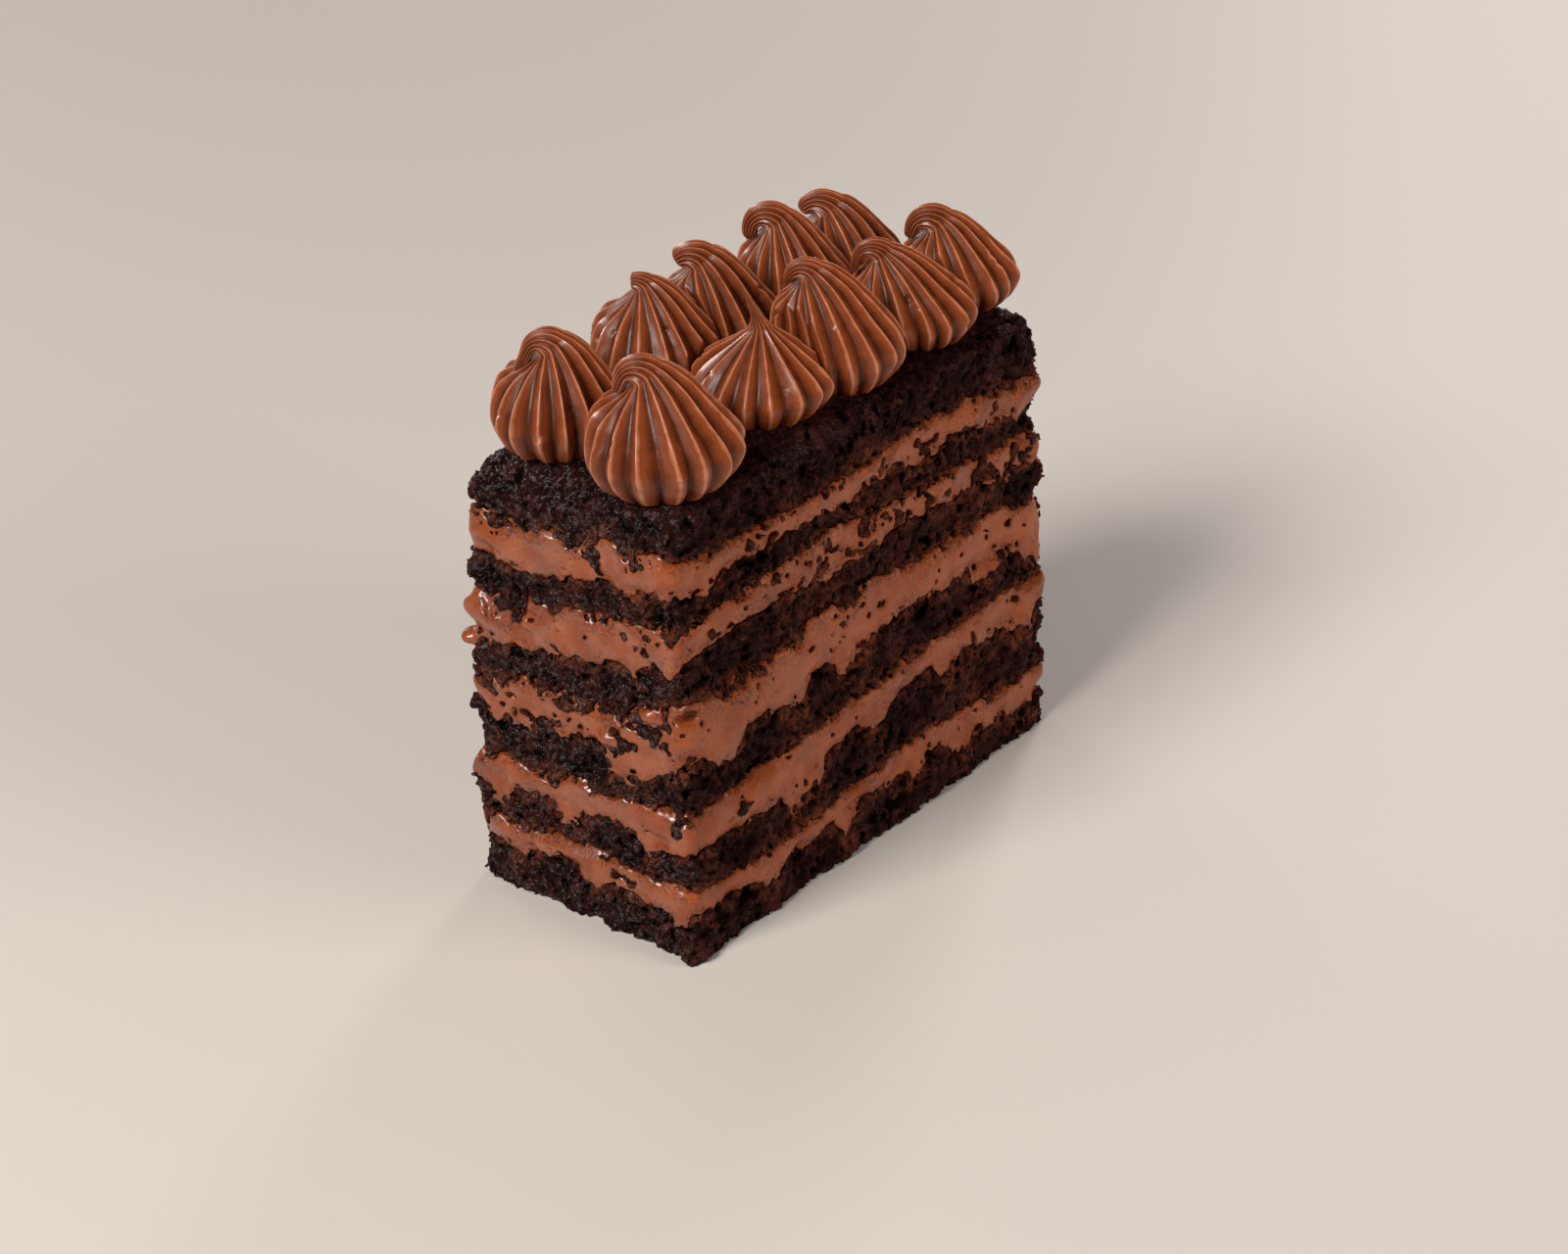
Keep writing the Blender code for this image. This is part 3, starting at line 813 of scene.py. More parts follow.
class Painter:
    """Short calls for building a material's nodes."""

    def __init__(self, name):
        self.material = bpy.data.materials.new(name)
        self.material.use_nodes = True
        self.tree = self.material.node_tree
        self.shader = self.tree.nodes["Principled BSDF"]

    def set(self, **values):
        """Sets the shader's own sockets, named with underscores: a number or colour, or a node's output."""
        for name, value in values.items():
            socket = self.shader.inputs[name.replace("_", " ")]
            if hasattr(value, "is_output"):
                self.tree.links.new(value, socket)
            else:
                socket.default_value = value

    def textured(self, kind, size_mm):
        """A texture node whose features have a size on the real object."""
        made = self.tree.nodes.new(kind)
        place = self.tree.nodes.new("ShaderNodeTexCoord").outputs["Object"]
        self.tree.links.new(place, made.inputs["Vector"])
        made.inputs["Scale"].default_value = 1 / (size_mm * MM)
        return made

    def noise(self, size_mm, detail=3.0):
        """Cloudy noise of a size, mostly from 0.3 to 0.7."""
        made = self.textured("ShaderNodeTexNoise", size_mm)
        made.inputs["Detail"].default_value = detail
        return made.outputs["Fac"]

    def grain(self, size_mm):
        """Distance to the nearest grain of a size."""
        return self.textured("ShaderNodeTexVoronoi", size_mm).outputs["Distance"]

    def remembered(self, name):
        """A value that the mesh remembers."""
        made = self.tree.nodes.new("ShaderNodeAttribute")
        made.attribute_name = name
        return made.outputs["Fac"]

    def between(self, value, low, high, to_low=0.0, to_high=1.0):
        """A value moved from one range to another, and held inside it."""
        made = self.tree.nodes.new("ShaderNodeMapRange")
        self.tree.links.new(value, made.inputs["Value"])
        numbers = {"From Min": low, "From Max": high, "To Min": to_low, "To Max": to_high}
        for socket, number in numbers.items():
            made.inputs[socket].default_value = number
        return made.outputs["Result"]

    def mix(self, share, first, second):
        """Two colours mixed by a share."""
        made = self.tree.nodes.new("ShaderNodeMix")
        made.data_type = "RGBA"
        self.tree.links.new(share, made.inputs["Factor"])
        for socket, colour in ((made.inputs["A"], first), (made.inputs["B"], second)):
            if isinstance(colour, tuple):
                socket.default_value = (*colour, 1)
            else:
                self.tree.links.new(colour, socket)
        return made.outputs["Result"]

    def sum(self, operation, first, second):
        """Two values joined by a sum."""
        made = self.tree.nodes.new("ShaderNodeMath")
        made.operation = operation
        for socket, value in zip(made.inputs, (first, second)):
            self.tree.links.new(value, socket)
        return made.outputs["Value"]

    def bump(self, height, depth_mm, strength=1.0, under=None):
        """Relief too fine to mesh, over other relief if there is some."""
        made = self.tree.nodes.new("ShaderNodeBump")
        self.tree.links.new(height, made.inputs["Height"])
        made.inputs["Distance"].default_value = depth_mm * MM
        made.inputs["Strength"].default_value = strength
        if under is not None:
            self.tree.links.new(under, made.inputs["Normal"])
        return made.outputs["Normal"]


print("a painter's calls:", [name for name in vars(Painter) if not name.startswith("_")])

# %% [markdown]
# Dark chocolate sponge is brown on its grains and red in places, and its hollows are painted nearly black by
# how deep each point lies, as painted shade. Near a seam cream is smeared over it, in patches and in bits. A
# picture of crumb wrapped over the mesh would bring its own shadows along, so the colours come from noise and
# from what the mesh remembers. The sponge is moist, most of all on top and on the torn ends, so small glints
# sit all over it: a clear coat in spots, with a fine relief of its own that scatters them.

# %% Sponge
SPONGE_HOLLOW_SHADE = (0.0028, 0.0006, 0.0005)
SPONGE_MIDDLE = (0.022, 0.0052, 0.0050)
SPONGE_BROWN = (0.120, 0.030, 0.021)
SPONGE_RED = (0.062, 0.0085, 0.0125)
SMEARED = (0.190, 0.045, 0.018)


def sponge_material():
    """Dark moist crumb, with painted shade in its hollows and cream smeared over it near the seams."""
    paint = Painter("sponge")
    patch = paint.between(paint.noise(2.5, detail=4), 0.40, 0.65)
    brown = paint.sum("MULTIPLY", paint.between(paint.remembered("grain"), 0.25, 1.0), patch)
    red = paint.between(paint.noise(5.0, detail=4), 0.50, 0.62)
    colour = paint.mix(brown, SPONGE_MIDDLE, paint.mix(red, SPONGE_BROWN, SPONGE_RED))
    # Painted shade: the deeper a point lies, the more its colour goes towards the dark colour of the hollows.
    hollow = paint.between(paint.remembered("depth"), -1.0, 0.3)
    colour = paint.mix(hollow, SPONGE_HOLLOW_SHADE, colour)
    near_cream = paint.between(paint.remembered("mess"), 0.20, 0.85)
    smear = paint.sum("MULTIPLY", near_cream, paint.between(paint.noise(1.3, detail=5), 0.44, 0.58))
    smear = paint.sum("MULTIPLY", smear, paint.between(hollow, 0.2, 0.9, 0.0, 0.85))
    bits = paint.sum("MULTIPLY", paint.between(paint.noise(0.45, detail=2), 0.58, 0.64), near_cream)
    bits = paint.sum("MULTIPLY", bits, paint.between(hollow, 0.3, 0.8))
    colour = paint.mix(paint.sum("MAXIMUM", smear, bits), colour, SMEARED)
    relief = paint.bump(paint.noise(0.35, detail=5), 0.6)
    relief = paint.bump(paint.grain(0.32), 0.30, under=relief)
    wet = paint.between(paint.noise(0.8, detail=4), 0.51, 0.55)
    wet = paint.sum("MULTIPLY", wet, paint.remembered("wet"))
    paint.set(Base_Color=colour, Normal=relief, Roughness=0.55, Specular_IOR_Level=0.05)
    paint.set(Coat_Weight=wet, Coat_Roughness=0.10, Coat_IOR=1.7)
    paint.set(Coat_Normal=paint.bump(paint.noise(0.4, detail=3), 0.6))
    return paint.material


SPONGE = sponge_material()
print("sponge nodes:", len(SPONGE.node_tree.nodes))

# %% [markdown]
# Chocolate cream is soft: light sinks in a little and comes out warm, and without that it would look like
# clay. Both creams share it, with a thin wet gloss. The filling varies between two browns, is specked and
# rubbed with crumb too fine to mesh, and shines in patches. On the torn ends it shines the most, because
# there no knife has dulled it.

# %% Cream filling
CREAM_COLOUR = (0.330, 0.074, 0.019)
CREAM_DEEP = (0.240, 0.048, 0.011)
SPECK = (0.060, 0.014, 0.008)
RUBBED = (0.105, 0.026, 0.011)
SHINE_CHANGE = 0.08


def soft_inside(paint, roughness):
    """The finish that both creams share."""
    shine = paint.between(paint.noise(1.6), 0.3, 0.7, roughness - SHINE_CHANGE, roughness + SHINE_CHANGE)
    paint.set(Roughness=shine, Specular_IOR_Level=0.30, Coat_Roughness=0.16)
    paint.set(Subsurface_Weight=0.10, Subsurface_Radius=(1.0, 0.35, 0.15), Subsurface_Scale=1.0 * MM)


def filling_material():
    """Smooth chocolate cream, specked with crumbs too small to mesh."""
    paint = Painter("cream")
    colour = paint.mix(paint.between(paint.noise(4.0), 0.35, 0.65), CREAM_DEEP, CREAM_COLOUR)
    strong = paint.between(paint.remembered("mess"), 0.25, 0.85, 0.10, 1.0)
    speck = paint.between(paint.grain(0.8), 0.16, 0.30, 1.0, 0.0)
    speck = paint.sum("MULTIPLY", speck, paint.between(paint.noise(1.8), 0.44, 0.54))
    colour = paint.mix(paint.sum("MULTIPLY", speck, strong), colour, SPECK)
    dust = paint.between(paint.noise(0.45, detail=2), 0.56, 0.62)
    colour = paint.mix(paint.sum("MULTIPLY", dust, strong), colour, SPECK)
    rubbed = paint.between(paint.noise(1.1, detail=5), 0.47, 0.62, 0.0, 0.8)
    rubbed = paint.sum("MULTIPLY", rubbed, paint.between(paint.remembered("mess"), 0.35, 0.95))
    colour = paint.mix(rubbed, colour, RUBBED)
    relief = paint.bump(paint.noise(1.4), 0.30, 0.8)
    relief = paint.bump(paint.noise(0.5, detail=4), 0.14, 0.7, under=relief)
    gloss = paint.between(paint.noise(3.0, detail=2), 0.42, 0.60, 0.35, 1.0)
    gloss = paint.sum("MULTIPLY", gloss, paint.between(paint.remembered("wet"), 0.15, 0.60, 0.35, 1.0))
    paint.set(Base_Color=colour, Normal=relief, Coat_Weight=gloss)
    soft_inside(paint, roughness=0.42)
    return paint.material


CREAM = filling_material()
print("cream nodes:", len(CREAM.node_tree.nodes))

# %% [markdown]
# Piped cream is the same cream, but its form is all ridges. On a thin crest the surface is drawn tight, so it
# is glossier there, and deep in a valley it is dull. Its colour also carries painted light: a painted
# highlight makes each crest paler, and painted shade makes each valley darker. The mesh remembers how near
# each point is to a crest. A little noise breaks the line along the crests.

# %% Piped cream
KISS_VALLEY_SHADE = (0.062, 0.0115, 0.0026)
KISS_MIDDLE = (0.220, 0.046, 0.0115)
KISS_CREST_HIGHLIGHT = (0.460, 0.150, 0.0680)


def piped_material():
    """Cream with a painted highlight along its crests and painted shade in its valleys, and glossier crests.
    """
    paint = Painter("piped_cream")
    uneven = paint.between(paint.noise(2.2), 0.3, 0.7, -0.12, 0.12)
    ridge = paint.sum("ADD", paint.remembered("ridge"), uneven)
    # Painted shade darkens the valleys and a painted highlight lightens the crests, by how near each point is
    # to a crest.
    colour = paint.mix(paint.between(ridge, 0.0, 0.50), KISS_VALLEY_SHADE, KISS_MIDDLE)
    colour = paint.mix(paint.between(ridge, 0.70, 0.95), colour, KISS_CREST_HIGHLIGHT)
    gloss = paint.between(ridge, 0.50, 0.90, 0.05, 0.80)
    paint.set(Base_Color=colour, Normal=paint.bump(paint.noise(1.2), 0.08, 0.5), Coat_Weight=gloss)
    soft_inside(paint, roughness=0.40)
    return paint.material


PIPED = piped_material()
print("piped cream nodes:", len(PIPED.node_tree.nodes))

# %% [markdown]
# Now the layers themselves. Each one is the crumb or the cream of the block, cut off at the seam above it and
# at the seam below. Cream has room left in it for the crumbs that lie in it. At one corner cream has run out
# in blobs, and a smooth minimum melts those on.

# %% One layer's block
REACH = 3.0
BLOB_MELT = 1.0
# Blobs of cream that have run out at a corner: for each cream their middles and their three half widths, mm
BLOBS = {
    "cream_4": ((-45.0, 22.6, 43.0, 2.2, 1.7, 1.3), (-46.6, 20.0, 49.4, 1.2, 2.6, 1.9)),
}


def smooth_min(a, b, width):
    """The smaller of two numbers, with the corner between them filled over a width."""
    return -smooth_max(-a, -b, width)


def is_cream(number):
    """Whether a layer, counted from the foot up, is cream."""
    return number % 2 == 1


def layer_block(number):
    """The block of one layer, between its two seams, and the place in height where it starts."""
    level = np.zeros((len(xs), len(ys)), dtype=np.float32)
    below = seams[number - 1] if number > 0 else level
    above = seams[number] if number < len(seams) else level + tops[-1].max()
    first = int(max(0, np.searchsorted(zs, below.min() - REACH)))
    last = int(min(len(zs), np.searchsorted(zs, above.max() + REACH)))
    part = slice(first, last)
    height = Z[:, :, part]
    field = (cream if is_cream(number) else crumb)[:, :, part]
    if is_cream(number):
        field = np.maximum(field, -stuck[:, :, part])
    ragged = wander[:, :, part] if number > 0 else 0
    field = np.maximum(field, below[:, :, None] + ragged - height)
    if number < len(seams):
        field = np.maximum(field, height - above[:, :, None] - wander[:, :, part])
    for x, y, z, *half in BLOBS.get(LAYERS[number], ()):
        away = np.sqrt(((X - x) / half[0]) ** 2 + ((Y - y) / half[1]) ** 2 + ((height - z) / half[2]) ** 2)
        field = smooth_min(field, (away - 1) * min(half), BLOB_MELT)
    return field, first


print("the slice has", len(LAYERS), "layers and", len(seams), "seams")

# %% [markdown]
# The mesh of each layer remembers four things for its material: how deep a point lies, which grain it is on,
# how messy it is there and how wet. The mess of the colours is a softer sum than that of the crumbs, because
# smears reach farther than crumbs do. The top is the wettest close to the near end, where syrup has gathered.

# %% The eleven layers
FEWEST_LAYER_POINTS = 400
COVER_MESS = 0.4
CUT_MESS = 0.12
WET_EVERYWHERE = 0.15
WET_ENDS = 0.45
WET_TOP = 0.35
WET_TOP_NEAR_END = 0.55
END_WET_REACH = 25.0
near_the_end = np.exp(-np.maximum(skin_points[:, 0] - low[0], 0) / END_WET_REACH)
wet_here = WET_EVERYWHERE + WET_ENDS * on_end + WET_TOP * on_top + WET_TOP_NEAR_END * near_the_end * on_top
mess_here = np.sqrt(near_seam) + BROAD_MESS * broad + COVER_MESS * cover_here + CUT_MESS * (1 - on_end)
TO_REMEMBER = {
    "depth": outside,
    "grain": spread(lump_number, rest=0.5),
    "mess": spread(np.clip(mess_here, 0, 1)),
    "wet": spread(np.clip(wet_here, 0, 1)),
}


def make_layer(number):
    """One sponge or one cream."""
    field, first = layer_block(number)
    points, faces = without_scraps(*skin_of(field, first), FEWEST_LAYER_POINTS)
    name = LAYERS[number]
    mesh = mesh_from(name + ("_fill" if is_cream(number) else "_crumb"), points, faces)
    remember_blocks(mesh, points, **TO_REMEMBER)
    if is_cream(number):
        return show(mesh, CREAM, "cream", name)
    return show(mesh, SPONGE, "sponge", name)


layers = [make_layer(number) for number in range(len(LAYERS))]
for name, layer in zip(LAYERS, layers):
    print(name, len(layer.data.polygons), "faces,", round(volume_of(layer.data), 1), "cubic cm")
print("faces in the layers:", sum(len(layer.data.polygons) for layer in layers))

# %% [markdown]
# The crumbs that lie in the creams come out of their own block, kept to the creams, as one piece of sponge.
# Here a scrap of a dozen points is a real crumb, so far smaller parts are kept.

# %% Loose crumbs in the creams
FEWEST_CRUMB_POINTS = 12
CRUMB_GAP = 0.05


def make_stuck_crumbs():
    """The crumbs that lie in the creams, as one piece."""
    outside_cream = np.full(outside.shape, SKIN, dtype=np.float32)
    for number in filter(is_cream, range(len(LAYERS))):
        below = seams[number - 1][:, :, None] + wander
        above = seams[number][:, :, None] + wander
        outside_cream = np.minimum(outside_cream, np.maximum(below - Z, Z - above))
    field = np.maximum(stuck, outside_cream + CRUMB_GAP)
    points, faces = without_scraps(*skin_of(field, 0), FEWEST_CRUMB_POINTS)
    mesh = mesh_from("crumbs_in_cream", points, faces)
    remember_blocks(mesh, points, **TO_REMEMBER)
    return show(mesh, SPONGE, "sponge")


stuck_crumbs = make_stuck_crumbs()
print("faces in the crumbs:", len(stuck_crumbs.data.polygons))

# %% [markdown]
# A kiss is piped with a star nozzle held upright. Cream swells out at the foot, the nozzle is lifted, the
# ridges draw together, and a quick pull to one side leaves a hooked tip. A shape spun round an upright line
# could have the belly but no hook, so each kiss is a star-shaped ring swept up a line that bends over at the
# top. No two kisses are alike, and each has its own row of sizes. Its height isn't among them, because that
# is read from its solid.

# %% Sizes of the kisses
# Each kiss: its centre along and across the slice, its widest radius, how far its top leans and how sharply
# its dome draws in; then its radius where the curl begins, the radius of the curl's middle line, how many
# degrees it curls, the length of the straight tail after it and the tail's radius. Lengths in mm.
KISSES = {
    "kiss_front_1": (-37.2, -11.2, 12.8, 2.1, 0.94, 3.3, 1.9, 158, 2.6, 1.4),
    "kiss_front_2": (-10.6, -7.9, 11.9, -0.6, 1.15, 2.0, 14.0, 20, 3.6, 0.62),
    "kiss_front_3": (5.9, -10.7, 11.2, 4.3, 0.88, 2.9, 1.6, 165, 0.8, 1.1),
    "kiss_front_4": (25.6, -10.9, 10.7, 5.2, 0.90, 2.3, 2.3, 165, 2.6, 0.9),
    "kiss_front_5": (40.6, -8.6, 10.1, 3.4, 0.90, 3.0, 2.4, 160, 2.0, 1.4),
    "kiss_rear_1": (-36.7, 9.9, 11.3, 0.7, 0.88, 3.3, 1.8, 152, 4.8, 1.2),
    "kiss_rear_2": (-12.2, 11.0, 11.8, 1.7, 0.96, 2.3, 1.7, 92, 0.4, 1.4),
    "kiss_rear_3": (2.2, 10.0, 10.6, 3.1, 0.84, 3.4, 2.1, 125, 0.8, 1.8),
    "kiss_rear_4": (20.8, 10.0, 10.2, 2.5, 0.98, 2.8, 2.4, 190, 1.2, 1.3),
    "kiss_rear_5": (35.2, 10.4, 10.2, 3.0, 0.84, 3.3, 2.4, 125, 1.4, 1.7),
}
LEAN_HEADING = math.radians(129.6)
outward = np.array([math.cos(LEAN_HEADING), math.sin(LEAN_HEADING), 0.0])
sideways = np.array([-math.sin(LEAN_HEADING), math.cos(LEAN_HEADING), 0.0])
upright = np.array([0.0, 0.0, 1.0])
floor_level = max(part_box(name)[0][2] for name in KISS_NODES) / MM
print("the kisses stand at", round(floor_level, 1), "mm")

# %% [markdown]
# The middle line of a kiss goes up through its body, turning a little near the top, then round a tight curl,
# and then straight on along the tail. A ring stands square across it at every step. The body's radius grows
# from the foot to the belly and draws in over the dome, and along the curl it tapers to the tip.

# %% The line of a kiss
BODY_RINGS = 72
CURL_RINGS = 26
TAIL_RINGS = 14
RING_SPACING = 1.05
FOOT_RATIO = 0.68
FOOT_ROUNDNESS = 0.8
BELLY_AT = 0.31
DOME_ROUNDNESS = 1.5
NECK_TILT = math.radians(38)
TILT_FROM = 0.60
LEAST_HOOK = 60
CURL_TAPER = 1.3
TAIL_TAPER = 0.4
TAIL_END_ROUNDNESS = 6


def body_radius(share, radius, draw, neck):
    """A kiss's radius at a share of its body's height: foot, belly and dome."""
    if share < BELLY_AT:
        growth = math.sin(math.pi / 2 * share / BELLY_AT) ** FOOT_ROUNDNESS
        return radius * (FOOT_RATIO + (1 - FOOT_RATIO) * growth)
    rise = (share - BELLY_AT) / (1 - BELLY_AT)
    return neck + (radius - neck) * max(0.0, 1 - rise**DOME_ROUNDNESS) ** draw


def kiss_line(height, radius, lean, draw, neck, curl, turn, tail, tip):
    """The rings of a kiss: middle, tilt, radius, room on the inner side and share of the body's height."""
    last_tilt = math.radians(turn)
    first_tilt = min(NECK_TILT, last_tilt / 2)
    arc = last_tilt - first_tilt
    highest = min(1.0, max(0.0, (math.pi / 2 - first_tilt) / arc))
    rise = curl * (math.sin(min(last_tilt, math.pi / 2)) - math.sin(first_tilt))
    hooked = turn > LEAST_HOOK
    top = tip + (neck - tip) * (1 - highest) ** CURL_TAPER if hooked else tail * math.cos(last_tilt)
    body = height - rise - top
    rings = []
    for share in np.linspace(0, 1, BODY_RINGS) ** RING_SPACING:
        late = max(0.0, (share - TILT_FROM) / (1 - TILT_FROM))
        middle = outward * lean * share**2 + upright * body * share
        room = radius + (curl - radius) * late**2
        rings.append((middle, first_tilt * late**2, body_radius(share, radius, draw, neck), room, share))
    at = rings[-1][0]
    for step in np.arange(1, CURL_RINGS + 1) / CURL_RINGS:
        tilt = first_tilt + arc * step
        way = outward * math.sin(tilt) + upright * math.cos(tilt)
        at = at + way * curl * arc / CURL_RINGS
        rings.append((at, tilt, tip + (neck - tip) * (1 - step) ** CURL_TAPER, curl, 1.0))
    for step in np.arange(1, TAIL_RINGS + 1) / TAIL_RINGS:
        thin = tip * (1 - TAIL_TAPER * step) * math.sqrt(max(0.0, 1 - step**TAIL_END_ROUNDNESS))
        rings.append((at + way * tail * step, last_tilt, thin, curl, 1.0))
    return rings


print("rings to a kiss:", BODY_RINGS + CURL_RINGS + TAIL_RINGS)

# %% [markdown]
# Round each ring go sixteen ridges, one for each tooth of the nozzle. Their points are packed closer together
# at the crests, where the shape bends most. At the foot, where the cream slumps, a ridge is a full round
# lobe. Higher up it is a thin fin on a broad swell, as the nozzle's teeth cut it.

# %% The star of the nozzle
RIDGES = 16
POINTS_PER_RIDGE = 14
CREST_PACKING = 1.6
RIDGE_SHIFT = 0.13
RIDGE_TALLNESS = (0.85, 1.15)
CREST_ROUNDING = 0.08
CREST_SHARPNESS = 4.2
SWELL_ROUNDNESS = 1.5
LOBE_ROUNDNESS = 2.6
LOBE_FULLNESS = 0.8
LOBE_SHARE = 0.85
FIN_SHARE = 0.15
FINS_FROM = 0.12
FINS_OVER = 0.40


def star(dice):
    """Round a kiss: each point's angle, how far it is from its crest, how tall its ridge is and its beat."""
    steps = np.linspace(-1, 1, POINTS_PER_RIDGE + 1)[:-1]
    across = np.tile(np.sign(steps) * np.abs(steps) ** CREST_PACKING, RIDGES)
    ridge = np.repeat(np.arange(RIDGES), POINTS_PER_RIDGE)
    shift = dice.uniform(-RIDGE_SHIFT, RIDGE_SHIFT, RIDGES + 1)
    tall = dice.uniform(*RIDGE_TALLNESS, RIDGES + 1)
    shift[-1], tall[-1] = shift[0], tall[0]
    place = (ridge + 0.5 + across / 2) / RIDGES
    marks = (np.arange(RIDGES + 1) + 0.5) / RIDGES
    shifted = place + np.interp(place, marks, shift, period=1.0) / RIDGES
    beat = np.interp(place, marks[:-1], dice.uniform(0, 2 * math.pi, RIDGES), period=1.0)
    return 2 * math.pi * shifted, np.abs(across), np.interp(place, marks, tall, period=1.0), beat


def crest_line(off_crest):
    """0 in a valley and 1 on a crest: a thin fin on a broad swell."""
    rounded = np.sqrt(off_crest**2 + CREST_ROUNDING**2) - CREST_ROUNDING
    rounded /= math.sqrt(1 + CREST_ROUNDING**2) - CREST_ROUNDING
    return (1 - off_crest**SWELL_ROUNDNESS) / 2 + (1 - rounded) ** CREST_SHARPNESS / 2


def ridge_height(off_crest, share):
    """How high a ridge stands: full round lobes at the foot, thin fins above."""
    above = min(1.0, max(0.0, (share - FINS_FROM) / FINS_OVER))
    lobe = (1 - off_crest**LOBE_ROUNDNESS) ** LOBE_FULLNESS
    fin = crest_line(off_crest)
    return (LOBE_SHARE * lobe + FIN_SHARE * fin) * (1 - above) + fin * above


print("points round a kiss:", RIDGES * POINTS_PER_RIDGE)

# %% [markdown]
# The kisses were piped so close that they press on each other, and flatten where they touch. The inner side
# of a tight curl has no room for its ridges either, and flattens too. And as they were piped by hand, their
# sides are a little uneven, with the small pits of burst bubbles.

# %% What presses on a kiss
GAP = 0.12
UNEVEN = 0.13
UNEVEN_SIZE = 2.6
PITS = 10
PIT_RADIUS = (0.30, 0.60)
PIT_DEPTH = 0.9
PIT_STEEPNESS = 4
PITS_BETWEEN = (0.12, 0.45)
LEAST_AWAY = 0.01


def squeezed(points, centre, radius, others):
    """Points kept on their own kiss's side of the flat where it presses on each neighbour."""
    for other, other_radius in others:
        between = other - centre
        distance = np.linalg.norm(between)
        way = between / distance
        limit = distance * radius / (radius + other_radius) - GAP
        past = (points - centre) @ way - limit
        points = points - np.outer(np.maximum(past, 0), way)
    return points


def pressed(offset, room):
    """How far points reach towards the inside of the curl, pressed flat where there is little room."""
    past = np.maximum(offset - room / 2, 0)
    return offset - past + room / 2 * np.tanh(past / (room / 2))


def roughened(rings, dice, seed):
    """The points of all the rings, with a hand's unevenness and with small pits in the sides."""
    rows, columns = len(rings), len(rings[0])
    points = np.concatenate(rings)
    away = points - np.repeat([ring.mean(axis=0) for ring in rings], columns, axis=0)
    away /= np.maximum(np.linalg.norm(away, axis=1, keepdims=True), LEAST_AWAY)
    push = UNEVEN * swells(points.astype(np.float32), UNEVEN_SIZE, seed)
    for _ in range(PITS):
        row = int(rows * dice.uniform(*PITS_BETWEEN))
        at = points[row * columns + dice.integers(columns)]
        radius = dice.uniform(*PIT_RADIUS)
        from_pit = np.linalg.norm(points - at, axis=1) / radius
        push -= PIT_DEPTH * radius * np.exp(-(from_pit**PIT_STEEPNESS))
    return points + away * push[:, None]


print("pits in a kiss:", PITS)

# %% [markdown]
# All of that comes together here. Each ring's points are put in place, the rings are joined by rows of
# four-cornered faces, and the foot and the tip are closed by fans. The foot sinks a little into the crumb
# under it, as soft cream does.

# %% Kisses
RIDGE_SHARE = 0.170
NECK_RIDGE_SHARE = 0.19
FOOT_RIDGES = 0.85
RIDGES_GAINED = 0.15
RIDGES_FULL_AT = 0.25
CREST_WAVE = 0.07
CREST_SWAY = 0.008
WAVES = 11.0
SINK = 0.9
SINK_HEIGHT = 3
STAR_SEED = 100
UNEVEN_SEED = 200


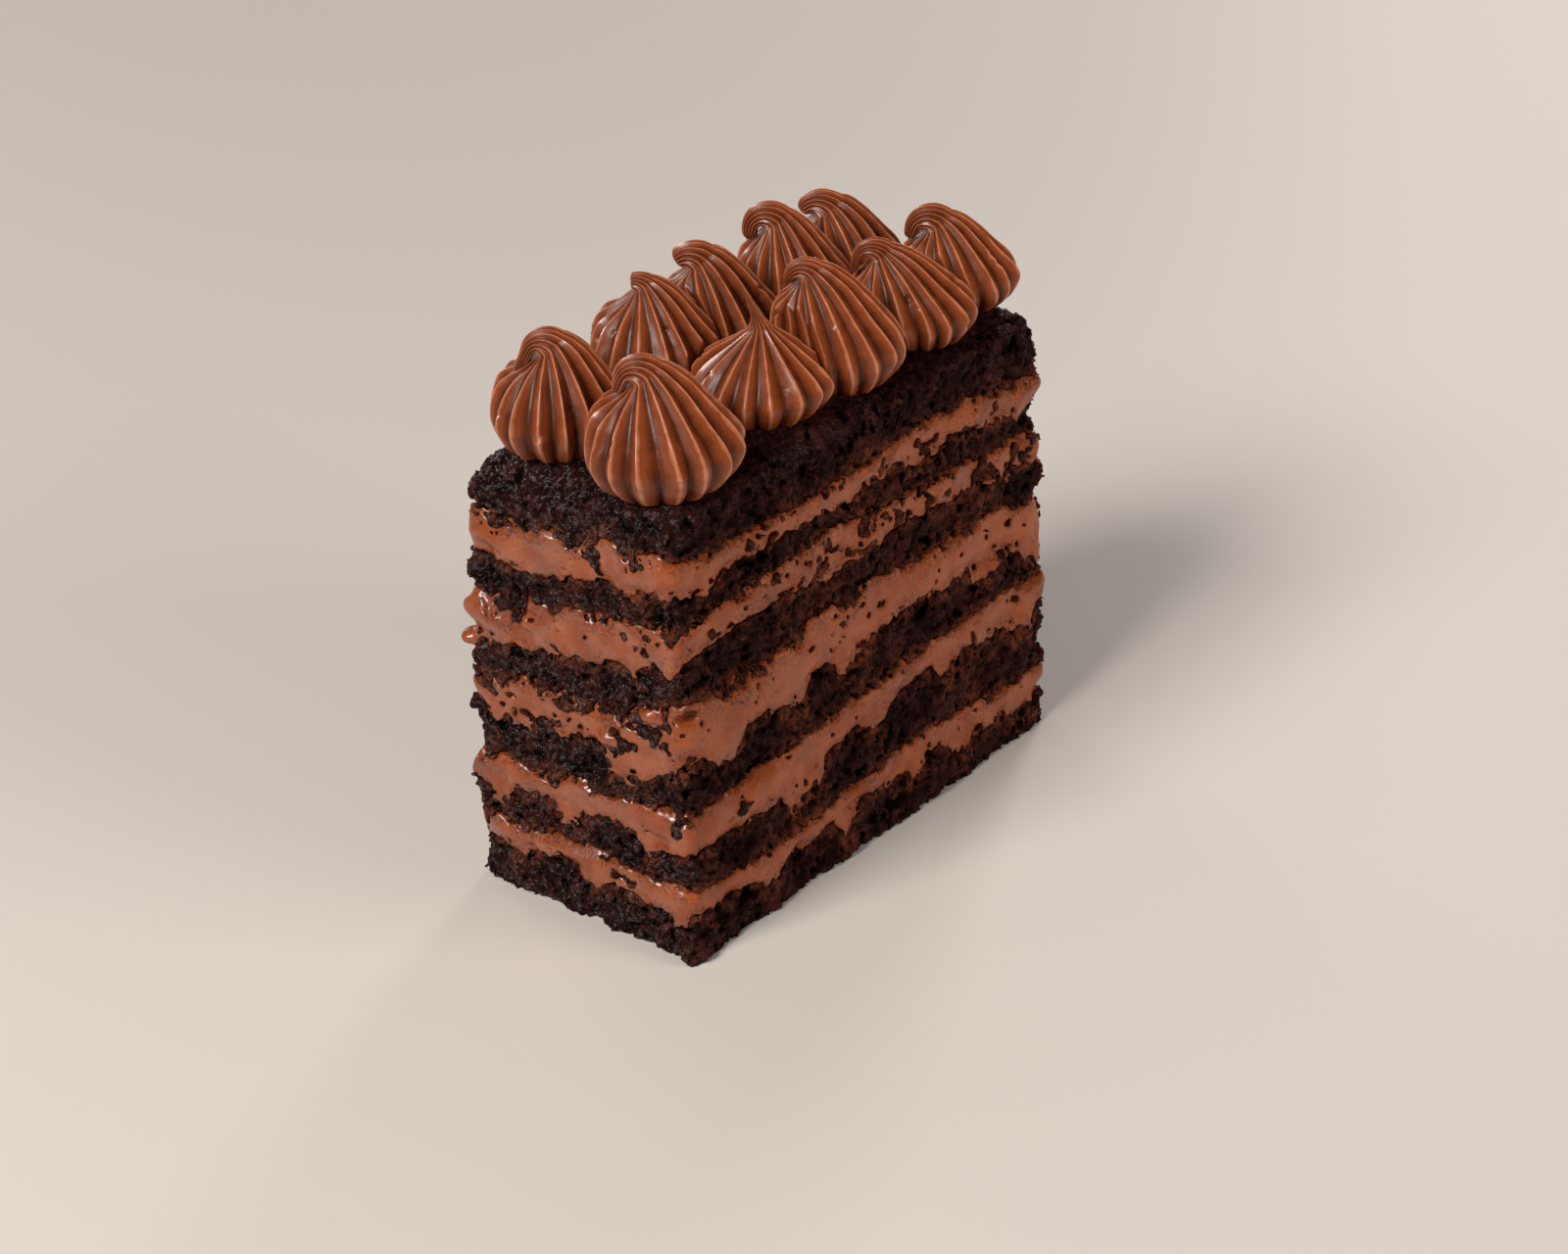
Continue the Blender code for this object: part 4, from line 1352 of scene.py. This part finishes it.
def kiss_rings(name, dice):
    """The rings of points of one kiss, and how far its points lie from their crests."""
    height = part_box(name)[1][2] / MM - floor_level
    x, y, radius, *shape = KISSES[name]
    centre = np.array([x, y, 0.0])
    others = [(np.array([row[0], row[1], 0.0]), row[2]) for key, row in KISSES.items() if key != name]
    others = [(at, size) for at, size in others if np.linalg.norm(at - centre) < size + radius]
    angles, off_crest, tall, beat = star(dice)
    rings = []
    for middle, tilt, reach, room, share in kiss_line(height, radius, *shape):
        ahead = outward * math.cos(tilt) - upright * math.sin(tilt)
        belly = min(1.0, reach / radius)
        depth = reach * (NECK_RIDGE_SHARE + (RIDGE_SHARE - NECK_RIDGE_SHARE) * belly)
        depth *= FOOT_RIDGES + RIDGES_GAINED * min(1.0, share / RIDGES_FULL_AT)
        ridge = ridge_height(off_crest, share) * (tall + CREST_WAVE * np.sin(WAVES * share + beat))
        spoke = reach - depth * (1 - ridge)
        round_now = angles + CREST_SWAY * np.sin(WAVES / 2 * share + 2 * beat)
        towards = pressed(np.cos(round_now) * spoke, room)
        ring = centre + middle + np.outer(towards, ahead) + np.outer(np.sin(round_now) * spoke, sideways)
        if share < 1:
            ring = squeezed(ring, centre, radius, others)
        rings.append(ring + upright * (floor_level - SINK * max(0.0, 1 - middle[2] / SINK_HEIGHT)))
    return rings, off_crest


def ring_faces(rows, columns):
    """The faces between rings, and the fans that close the first ring and the last."""
    here = np.arange(columns)
    after = (here + 1) % columns
    faces = [
        np.stack([row + here, row + after, row + columns + after, row + columns + here], axis=1)
        for row in np.arange(rows - 1) * columns
    ]
    last = (rows - 1) * columns
    foot = np.full(columns, rows * columns)
    faces.append(np.stack([after, here, foot, after], axis=1))
    faces.append(np.stack([last + here, last + after, foot + 1, last + here], axis=1))
    return np.concatenate(faces)


def make_kiss(name, number):
    """One piped kiss."""
    dice = np.random.default_rng(STAR_SEED + number)
    rings, off_crest = kiss_rings(name, dice)
    ends = [rings[0].mean(axis=0), rings[-1].mean(axis=0)]
    points = np.concatenate([roughened(rings, dice, seed=UNEVEN_SEED + number), ends])
    mesh = mesh_from(name + "_piped", points, ring_faces(len(rings), len(off_crest)))
    remember(mesh, "ridge", np.append(np.tile(crest_line(off_crest), len(rings)), [0.5, 0.5]))
    return show(mesh, PIPED, "piped_cream", name)


kisses = [make_kiss(name, number) for number, name in enumerate(KISS_NODES)]
for name, kiss in zip(KISS_NODES, kisses):
    top = max((vertex.co for vertex in kiss.data.vertices), key=lambda place: place.z) / MM
    leans = (np.array(top) - np.array([*KISSES[name][:2], 0])) @ outward
    print(name, "top at", round(top.z, 1), "mm, to the left by", round(float(leans), 1))
print("the kisses hold", [round(volume_of(kiss.data), 1) for kiss in kisses], "cubic cm")

# %% [markdown]
